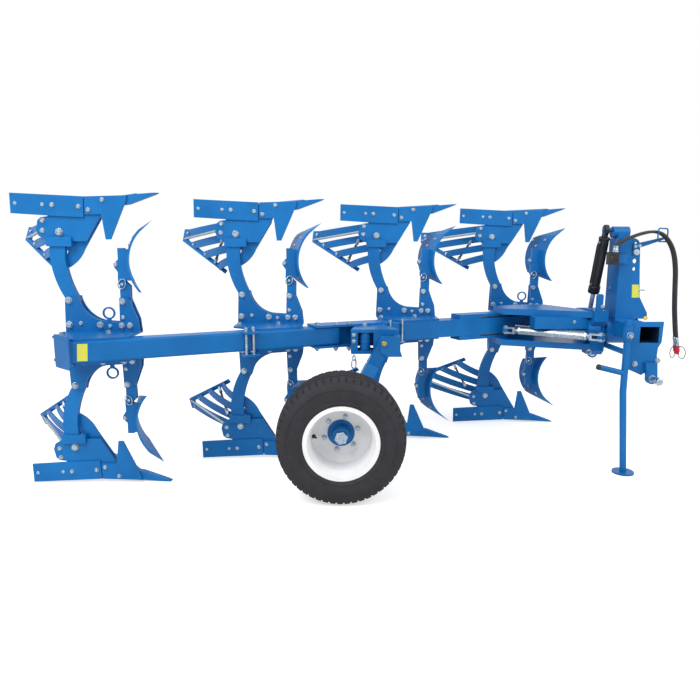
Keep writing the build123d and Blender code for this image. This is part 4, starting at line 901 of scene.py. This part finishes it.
make(hub_nut, "hub_nut", "wheel", zinc)

# %% [markdown]
# ## The turnover cylinder
#
# A welded cylinder: the barrel ends in a gland nut with six low studs round it, where the rod comes
# out. Two ports stand on its side with their steel pipe, and its upper eye has a ring and a collar.
# Everything here is placed along the line between the cylinder's two eyes, and rides the barrel.

# %% Cylinder fittings
GLAND = [(34, 0), (38, 2), (41, 6), (41, 50), (39, 54), (30, 56), (17.4, 56)]
EYE_RING = [(15, 0), (33, 0), (36, 3), (36, 24), (33, 27), (15, 27)]
NECK = [(34.8, 0), (37, 2), (37, 14), (34.8, 17)]
UPPER_PORT, LOWER_PORT = 0.085, 0.388
eye = on_head(47, 0, 696)
lug = on_head(47, 190, 60)
down = (lug - eye).normalized()
gland, fittings, pipes = Shape(), Shape(), Shape()
spin(gland, eye + down * 0.408, down, GLAND, 40)
for k in range(6):
    angle = k * math.pi / 3
    side = ALONG_X * math.cos(angle) + down.cross(ALONG_X) * math.sin(angle)
    spin(gland, eye + down * 0.446 + side * 0.0405, side, disc(4.5, -1, 2.5, 1, 1), 12)
spin(gland, eye - ALONG_X * 0.0135, ALONG_X, EYE_RING, 40)
spin(gland, eye + down * 0.052, down, NECK, 40)
out = (-ALONG_Y + down * ALONG_Y.dot(down)).normalized()
port_way = (out * 0.45 - ALONG_X * 0.89).normalized()
for reach in (UPPER_PORT, LOWER_PORT):
    base = eye + down * reach + port_way * 0.033
    spin(gland, base, port_way, disc(13, -4, 10, 2, 2), 24)
    spin(fittings, base, port_way, disc(9, 9, 19, 2, 2), 6)
upper = eye + down * UPPER_PORT + port_way * 0.050
lower = eye + down * LOWER_PORT + port_way * 0.050
lower_bend = lower + port_way * 0.006 - down * 0.012
upper_bend = upper + port_way * 0.006 + down * 0.02
pipe(pipes, [lower, lower_bend, upper_bend, upper], 5.0, 12)
make(gland, "cylinder_gland", "barrel", black_satin)
make(fittings, "cylinder_fittings", "barrel", zinc)
make(pipes, "cylinder_pipe", "barrel", black_satin)

# %% [markdown]
# ## The valve block
#
# The sequence valve that reverses the cylinder is a machined block with screwed plugs. The hoses
# start from it in plated unions with crimped sleeves, whose rings come from the profile.

# %% Valve fittings
HOSE_SIDES = (-162.0, -132.0)
SLEEVE = [(0, 10), (11, 10), (11, 14), (11.8, 15), (10.9, 18), (11.8, 21), (10.9, 24), (11.8, 27),
          (11.8, 40), (10.8, 41), (9.7, 41)]
unions, plugs, red_plug = Shape(), Shape(), Shape()
for side in HOSE_SIDES:
    base = on_head(58, side, 547)
    spin(unions, base, UPWARD, disc(13.5, -1, 11, 1.5, 2), 6, 0.3)
    spin(unions, base, UPWARD, SLEEVE, 28)
for x, h, size in ((30, 524, 9), (56, 500, 11), (30, 484, 9)):
    socket = [(0, -1), (size, -1), (size, 3), (size - 1, 4), (0.5 * size, 4), (0.45 * size, 1), (0, 1)]
    spin_on(plugs, seat(on_head(x, -300, h), ALONG_Y, ("valve_block",)), socket, 20)
found = sighted(612.0, 256.5, ("valve_block",))
if found:
    spin(red_plug, *found, disc(6, -1, 3, 1.5, 1), 20)
    make(red_plug, "valve_red_plug", "headstock", cap_red)
make(unions, "hose_unions", "headstock", zinc)
make(plugs, "valve_plugs", "headstock", black_satin)

# %% [markdown]
# ## The adjusters
#
# The turnbuckle's tube ends in lock nuts, and its threaded ends run into forked eyes. The thread
# is rolled, with a pitch of 5 mm. The straight spindle behind it is threaded all along. A screw
# modifier would wind a true helix, but at this pitch plain rings look the same and stay light.

# %% Adjuster details
THREAD_DEEP, THREAD_PROUD = 1.2, 0.4
TURNBUCKLE_NUT = [(16, 0), (25, 0), (27.5, 2), (27.5, 15), (25, 17), (16, 17)]
TUBE_END = [(28.2, 0), (30, 1), (30, 10), (28.2, 12)]
TUBE_BAND = [(28.2, 0), (31, 2), (31, 58), (28.2, 60)]
GREASE_NIPPLE = [(0, -2), (6, -2), (6, 4), (4, 6), (3, 9), (4, 11), (0, 12)]
FORK_HALF = 32


def threaded(shape, start, end, radius, pitch):
    """A thread's crests and roots as rings from start to end."""
    along = end - start
    turns = int(along.length * 1000 / pitch)
    profile = [(radius - THREAD_DEEP, 0)]
    for k in range(turns):
        profile += [(radius + THREAD_PROUD, (k + 0.5) * pitch), (radius - THREAD_DEEP, (k + 1) * pitch)]
    spin(shape, start, along, profile, 20)


threads, adjuster_nuts, pin_heads = Shape(), Shape(), Shape()
front_pin, rear_pin = on_head(-25, -215, -24), on_head(-575, 150, -24)
unit = (front_pin - rear_pin).normalized()
for pin, sign in ((rear_pin, 1), (front_pin, -1)):
    inward = unit * sign
    threaded(threads, pin + inward * 0.0745, pin + inward * 0.1095, 15.5, 5.0)
    spin(adjuster_nuts, pin + inward * 0.093, inward, TURNBUCKLE_NUT, 6)
    spin(adjuster_nuts, pin + inward * 0.110, inward, TUBE_END, 32)
    for facing in (UPWARD, -UPWARD):
        spin(pin_heads, pin + facing * FORK_HALF / 1000, facing, disc(19, -8.5, -1, 2, 2), 24)
middle = (front_pin + rear_pin) / 2
spin(adjuster_nuts, middle - unit * 0.03, unit, TUBE_BAND, 32)
spin(adjuster_nuts, middle + UPWARD * 0.03, UPWARD, GREASE_NIPPLE, 12)
spindle_from, spindle_to = on_head(-60, -10, -12), on_head(-470, 300, -12)
spindle = (spindle_to - spindle_from).normalized()
threaded(threads, spindle_from + spindle * 0.03, spindle_to - spindle * 0.05, 17.0, 6.0)
make(threads, "adjuster_threads", "plough", zinc, smooth=20.0)
make(adjuster_nuts, "adjuster_nuts", "plough", zinc)
make(pin_heads, "adjuster_pins", "plough", zinc)

# %% [markdown]
# ## Pins of the linkage
#
# The top link's pin has a collar at each end. Each lower pin has a groove near its tip and is
# closed by a linch pin, whose ring snaps over the end. A small bolt stands forward off the mast.

# %% Linkage pins
TOP_PIN_RADIUS, LOWER_PIN_RADIUS = 15.9, 18.3
LOWER_PIN_X, LOWER_PIN_H = 211, -253
linch = Shape()
for out in (-1, 1):
    collar = [(TOP_PIN_RADIUS, 0), (22, 0), (22, 6), (20, 8), (TOP_PIN_RADIUS, 8)]
    spin(linch, on_head(224, out * 98, 546), ALONG_Y * out, collar, 28)
    centre = on_head(LOWER_PIN_X, out * 555, LOWER_PIN_H)
    pipe(linch, [centre - UPWARD * 0.024, centre + UPWARD * 0.027], 4.2, 12)
    ring_middle = centre + UPWARD * 0.001 + ALONG_Y * out * 0.006
    pipe(linch, arc(ring_middle, UPWARD, ALONG_X, 26, -10, 300, 22), 2.0, 8)
    groove = [(15, -0.5), (LOWER_PIN_RADIUS, -3), (LOWER_PIN_RADIUS, -4), (15, -4)]
    spin(linch, on_head(LOWER_PIN_X, out * 574, LOWER_PIN_H), ALONG_Y * out, groove, 28)
pipe(linch, [on_head(268, -80, 288), on_head(311, -80, 288)], 6.0, 14)
spin(linch, on_head(270, -80, 288), ALONG_X, disc(11, 0, 10, 2, 2), 6)
spin(linch, on_head(303, -80, 288), ALONG_X, disc(8, 0, 8, 2, 2), 18)
make(linch, "linkage_clips", "headstock", zinc)

# %% [markdown]
# ## Inside the cross tube
#
# The square window in each hitch plate looks into the cross tube. Its inside is shown dark by a thin
# lining in a dark navy: painted shade, where the tube is unlit. The tube's own faces could take a
# second material, but a thin lining, closed at the bearing housing, leaves them alone.

# %% Tube lining
# The lining's dark navy is painted shade for the unlit inside of the tube
painted_shade_tube_inside = dull_skin("painted_shade_tube_inside_finish", "0f2c4a", "0a1f36", 0.75, 4.0, 0.1, 0.2)


def block(shape, low, high):
    """A box between two corners."""
    (x0, y0, z0), (x1, y1, z1) = low, high
    corners = [Vector((x, y, z)) for z in (z0, z1) for x, y in ((x0, y0), (x1, y0), (x1, y1), (x0, y1))]
    shape.add(corners, BOX_FACES)


TUBE_X, TUBE_H = 183, 28
LINING_X, LINING_H, LINING_THICK = 61.5, 51.5, 1.0
TUBE_END_Y, HOUSING_Y = 446, 109
inner_x, inner_h = LINING_X - LINING_THICK, LINING_H - LINING_THICK
LINING_WALLS = [(-LINING_X, -inner_x, -LINING_H, LINING_H), (inner_x, LINING_X, -LINING_H, LINING_H),
                (-inner_x, inner_x, -LINING_H, -inner_h), (-inner_x, inner_x, inner_h, LINING_H)]
lining = Shape()
for side in (-1, 1):
    for x0, x1, h0, h1 in LINING_WALLS:
        block(lining, on_head(TUBE_X + x0, side * TUBE_END_Y, TUBE_H + h0),
              on_head(TUBE_X + x1, side * (HOUSING_Y + 1), TUBE_H + h1))
    block(lining, on_head(TUBE_X - LINING_X, side * HOUSING_Y, TUBE_H - LINING_H),
          on_head(TUBE_X + LINING_X, side * (HOUSING_Y - 1), TUBE_H + LINING_H))
make(lining, "tube_painted_shade_lining", "headstock", painted_shade_tube_inside)

# %% [markdown]
# ## Yellow plates and the reflector
#
# A plain yellow plate sits on the beam and another on the mast. Each is drawn between its four
# corners on the photograph, found again on the solid, so it lies flat on the steel. An amber
# reflector is screwed to the foot of the mast.

# %% Yellow plates


def blank_plate(name, body, pixels, names):
    """A thin yellow plate whose four corners were marked on the photograph."""
    corners = [sighted(u, v, names) for u, v in pixels]
    if not all(corners):
        return
    facing = corners[0][1]
    front = [place + facing * 0.0012 for place, _ in corners]
    shape = Shape()
    shape.add(front + [place - facing * 0.0004 for place, _ in corners], BOX_FACES)
    make(shape, name, body, decal_yellow)


BEAM_PLATE = ((76.9, 344.2), (87.4, 343.8), (87.6, 361.0), (77.1, 361.4))
MAST_PLATE = ((632.0, 284.6), (638.9, 284.6), (638.6, 297.6), (631.7, 297.6))
blank_plate("blank_plate_beam", "plough", BEAM_PLATE, ("rear_beam",))
blank_plate("blank_plate_mast", "headstock", MAST_PLATE, ("mast",))
reflector = Shape()
found = sighted(645.5, 318.2, ("mast", "cross_tube", "hitch_plates", "bearing_housing"))
if found:
    spin(reflector, *found, [(0, -1), (15, -1), (15, 4), (13, 6), (0, 7)], 28)
    make(reflector, "amber_reflector", "headstock", reflector_amber)

# %% [markdown]
# ## Keeper chain
#
# A short chain hangs from the pivot block, with a small link and a large one at its end, where
# the arm's pin is kept. Each link is a pipe round two half circles, turned against the next one.

# %% Keeper chain
# Each link: how far it hangs below the block, its half width and half height, its side and its wire
LINKS = [(10, 9, 16, ALONG_Y, 3.0), (30, 10, 17, ALONG_X, 3.0), (66, 17, 29, Vector((0.8, 0.6, 0)), 4.2)]
chain = Shape()
found = sighted(354.0, 351.0, ("wheel_bracket",))
if found:
    hanger = Vector((found[0].x, found[0].y + 0.012, 0.3))
    under = seat(hanger, UPWARD, ("wheel_bracket",))
    base = under[0] if under else found[0]
    for drop, wide, high, across, wire in LINKS:
        centre = base - UPWARD * drop / 1000
        straight = UPWARD * (high - wide) / 1000
        loop = arc(centre + straight, across, UPWARD, wide, 0, 180, 10)
        loop += arc(centre - straight, across, UPWARD, wide, 180, 360, 10)
        pipe(chain, loop, wire, 8, closed=True)
    make(chain, "keeper_chain", "plough", zinc)

# %% [markdown]
# ## The parking stand
#
# The stand's tube is held in its sleeve by a cross pin with a ring, and its handle is closed by a
# plastic cap. The cap rides the stand, and the pin rides the headstock, as its sleeve does.

# %% Stand details
STAND_Y = -501
stand_trim, stand_pin = Shape(), Shape()
handle = Vector((-1, 0, 0.24)).normalized()
handle_end = on_head(7, STAND_Y, -210) + handle * 0.170
spin(stand_trim, handle_end, handle, [(18.4, -14), (18.4, 0), (16, 4), (0, 5)], 28)
make(stand_trim, "handle_cap", "stand", black_satin)
pin_place = on_head(17, STAND_Y - 30, 36)
spin(stand_pin, pin_place, -ALONG_Y, disc(9, -2, 10, 1.5, 2), 20)
pipe(stand_pin, arc(pin_place - ALONG_Y * 0.006, ALONG_X, UPWARD, 19, -80, 240, 20), 2.4, 8)
make(stand_pin, "stand_pin", "headstock", zinc)

# %% [markdown]
# ## The hoses' wire guide
#
# The hoses are held up by a loop of round bar on a flat arm that is bolted to the mast's ear. The
# bar is bent cold, so its corners are round. The loop follows the middle of the solid's square
# bar, and the arm keeps the solid's outline.

# %% Wire guide
HALF_WIDE, HALF_HIGH, BEND = 58.5, 43.5, 19.0
GUIDE_BAR = 4.9
ARM_FOOT = 560
ARM_OUTLINE = [(200, 560), (200, 600), (414, 650), (418, 636)]
guide = Shape()
guide_middle = on_head(371, -147, 661)
guide_across = Vector((0.84, 0.54, 0)).normalized()
loop = []
for corner_x, corner_z, start in ((1, 1, 0), (-1, 1, 90), (-1, -1, 180), (1, -1, 270)):
    bend_across = guide_across * corner_x * (HALF_WIDE - BEND) / 1000
    bend_middle = guide_middle + bend_across + UPWARD * corner_z * (HALF_HIGH - BEND) / 1000
    loop += arc(bend_middle, guide_across, UPWARD, BEND, start, start + 90, 7)
pipe(guide, loop, GUIDE_BAR, 16, closed=True)
plate(guide, [(x, h - ARM_FOOT) for x, h in ARM_OUTLINE], on_head(0, -90, ARM_FOOT), ALONG_X, UPWARD, 12)
guide_piece = make(guide, "hose_wire_guide", "headstock", frame_blue, bevel=0.8)
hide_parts("hose_guide")
guide_bolts = Shape()
for x, h in ((214, 585), (244, 588)):
    bolt_head(guide_bolts, (on_head(x, -102, h), -ALONG_Y), 12)
make(guide_bolts, "wire_guide_bolts", "headstock", zinc)

# %% [markdown]
# ## Couplings, dust caps and straps
#
# Each hose ends in a crimped sleeve, a hexagon and a quick coupling under a red dust cap. The cap
# hangs on a strap that loops out and back. Its few points were chosen one by one, and a smooth line is
# drawn through them, which keeps the ends exactly on the coupling and on the cap.

# %% Couplings
CRIMPED_END = [(0, -14), (12.3, -14), (12.3, -10), (11.5, -8.5), (12.3, -7), (11.5, -5.5), (12.3, -4),
               (12.3, 12), (10, 13), (10, 16)]
COUPLING = [(10, 27), (10, 32), (12.4, 33), (12.4, 46), (11, 48), (9, 50), (9, 66), (0, 66)]
DUST_CAP = [(12.6, 50), (14.6, 50), (14.6, 54), (13.4, 56), (13.4, 86), (12.5, 90), (9, 92), (9, 104),
            (7, 108), (0, 109)]


def smooth_line(points, steps=5):
    """A line through all the points, rounded off between them."""
    fine = []
    for a, b, c, d in zip(points[:1] + points[:-2], points[:-1], points[1:], points[2:] + points[-1:]):
        for k in range(steps):
            s = k / steps
            fine.append(0.5 * (2 * b + (c - a) * s + (2 * a - 5 * b + 4 * c - d) * s * s
                               + (3 * b - a - 3 * c + d) * s ** 3))
    return fine + points[-1:]


def strap_line(last, along, swing):
    """The strap's way from the coupling out and back to the cap's end."""
    start = last + along * 0.052 - ALONG_Y * 0.014
    end = last + along * 0.106
    middle = (start + end) / 2
    return smooth_line([
        start, start + swing * 0.016 - ALONG_Y * 0.004 + UPWARD * 0.004,
        start + swing * 0.036 - UPWARD * 0.012, middle + swing * 0.046 - UPWARD * 0.016,
        end + swing * 0.036 - UPWARD * 0.026, end + swing * 0.014 - UPWARD * 0.024, end])


def coupling_pieces(number, last, along, swing):
    """The coupling, its dust cap and the strap at the end of a hose."""
    steel, cap, strap = Shape(), Shape(), Shape()
    spin(steel, last, along, CRIMPED_END, 32)
    spin(steel, last, along, disc(12.4, 15, 28, 1.4, 1), 6)
    spin(steel, last, along, COUPLING, 32)
    spin(cap, last, along, DUST_CAP, 32)
    pipe(strap, strap_line(last, along, swing), 2.6, 8)
    coupling = make(steel, f"quick_coupling_{number}", "headstock", zinc)
    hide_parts(f"coupling_{number}")
    dust_cap = make(cap, f"dust_cap_{number}", "headstock", cap_red)
    strap_piece = make(strap, f"dust_cap_strap_{number}", "headstock", strap_brown)
    return coupling, dust_cap, strap_piece


# %% [markdown]
# ## The hoses
#
# Two hydraulic hoses leave the valve block, run over the mast's wire guide and hang down in front
# with their couplings. A hose is a curve with a round bevel: its line is a smooth spline whose
# control points are those of the route, and so it bends as evenly as reinforced rubber does.

# %% Hoses
HOSE_ROUTE = [(58, 547), (58, 590), (100, 622), (158, 646), (224, 670), (300, 686), (368, 672), (424, 612),
              (460, 536), (480, 430), (487, 310), (497, 170), (511, 60), (527, -44)]
for number, side in enumerate(HOSE_SIDES, 1):
    line = bpy.data.curves.new(f"hose_line_{number}", "CURVE")
    line.dimensions = "3D"
    spline = line.splines.new("NURBS")
    spline.points.add(len(HOSE_ROUTE) - 1)
    for point, (x, h) in zip(spline.points, HOSE_ROUTE):
        point.co = (*on_head(x, side, h), 1.0)
    spline.order_u = 3
    spline.use_endpoint_u = True
    spline.resolution_u = 16
    line.bevel_depth = 0.0095
    line.bevel_resolution = 6
    line.use_fill_caps = True
    line.materials.append(hose_rubber)
    before_last, last = [on_head(x, side, h) for x, h in HOSE_ROUTE[-2:]]
    swing = Vector((1.0 if number == 1 else -1.0, -0.25, 0))
    along = (last - before_last).normalized()
    coupling, dust_cap, strap_piece = coupling_pieces(number, last, along, swing)
    hose = bpy.data.objects.new(f"rubber_hose_{number}", line)
    scene.collection.objects.link(hose)
    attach(hose, "headstock")
    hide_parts(f"hose_{number}")
    print(hose.name, "points", len(HOSE_ROUTE))

# %% [markdown]
# ## Light and backdrop
#
# The photograph was cut out on white, under soft light from above and a little from the front. The
# world shows white to the camera and to reflections, and lights everything else more dimly. A
# picture of a studio could do this too, but two soft lamps and a white world are a few lines and
# need no file.

# %% Light and stage
world = bpy.data.worlds.new("soft_studio")
scene.world = world
world.use_nodes = True
world.node_tree.nodes.clear()
path = add_node(world, "ShaderNodeLightPath")
seen = add_node(world, "ShaderNodeMath", {"operation": "MAXIMUM"},
                {0: path.outputs["Is Camera Ray"], 1: path.outputs["Is Transmission Ray"]})
seen_or_shiny = add_node(world, "ShaderNodeMath", {"operation": "MAXIMUM"},
                         {0: seen.outputs[0], 1: path.outputs["Is Glossy Ray"]})
light_glow = add_node(world, "ShaderNodeBackground", {"Color": (1.0, 1.0, 1.0, 1.0), "Strength": 0.62})
white = add_node(world, "ShaderNodeBackground", {"Color": (1.0, 1.0, 1.0, 1.0), "Strength": 1.0})
mixed = add_node(world, "ShaderNodeMixShader", None,
                 {0: seen_or_shiny.outputs[0], 1: light_glow.outputs[0], 2: white.outputs[0]})
add_node(world, "ShaderNodeOutputWorld", None, {"Surface": mixed.outputs[0]})

# Each lamp: its name, its place and width in metres, its power in watts, and the point it faces
SOFTBOXES = [
    ("key_softbox", (-3.5, -4.5, 6.0), 4.0, 330.0, (0, 0, 0.8)),
    ("fill_softbox", (4.5, -3.0, 4.0), 4.0, 120.0, (0, 0, 0.8)),
]
for name, place, size, power, aim in SOFTBOXES:
    lamp = bpy.data.lights.new(name, "AREA")
    lamp.size = size
    lamp.energy = power
    holder = bpy.data.objects.new(name, lamp)
    scene.collection.objects.link(holder)
    holder.location = place
    holder.rotation_mode = "QUATERNION"
    holder.rotation_quaternion = (Vector(aim) - Vector(place)).to_track_quat("-Z", "Y")
    print(name, "watts", power)

# %% [markdown]
# ## The floor
#
# A pale matt floor takes the plough's shadow. Lit only by the lamps it would look grey against the
# white, so it also glows a little, but only where the camera sees it: its glow never reaches the
# plough's underside.

# %% Floor
floor_finish = new_material("pale_studio_floor")
floor_path = add_node(floor_finish, "ShaderNodeLightPath")
floor_place = add_node(floor_finish, "ShaderNodeTexCoord")
floor_cloud = add_node(floor_finish, "ShaderNodeTexNoise", {"Scale": 0.8, "Detail": 2.0},
                       {"Vector": floor_place.outputs["Object"]})
floor_tint = add_node(floor_finish, "ShaderNodeValToRGB", None, {"Fac": floor_cloud.outputs["Fac"]},
                      [(0.3, (0.80, 0.80, 0.80, 1.0)), (0.7, (0.83, 0.83, 0.83, 1.0))])
floor_matt = add_node(floor_finish, "ShaderNodeBsdfPrincipled", {"Roughness": 0.9},
                      {"Base Color": floor_tint.outputs["Color"]})
floor_glow = add_node(floor_finish, "ShaderNodeEmission", {"Color": (1.0, 1.0, 1.0, 1.0), "Strength": 0.55})
floor_none = add_node(floor_finish, "ShaderNodeEmission", {"Strength": 0.0})
floor_lift = add_node(floor_finish, "ShaderNodeMixShader", None,
                      {0: floor_path.outputs["Is Camera Ray"], 1: floor_none.outputs[0],
                       2: floor_glow.outputs[0]})
floor_sum = add_node(floor_finish, "ShaderNodeAddShader", None,
                     {0: floor_matt.outputs[0], 1: floor_lift.outputs[0]})
add_node(floor_finish, "ShaderNodeOutputMaterial", None, {"Surface": floor_sum.outputs[0]})

floor_mesh = bpy.data.meshes.new("studio_floor")
floor_mesh.from_pydata([(-30, -12, 0), (30, -12, 0), (30, 40, 0), (-30, 40, 0)], [], [(0, 1, 2, 3)])
floor_mesh.materials.append(floor_finish)
floor = bpy.data.objects.new("studio_floor", floor_mesh)
scene.collection.objects.link(floor)

# %% View settings
scene.view_settings.view_transform = "Standard"
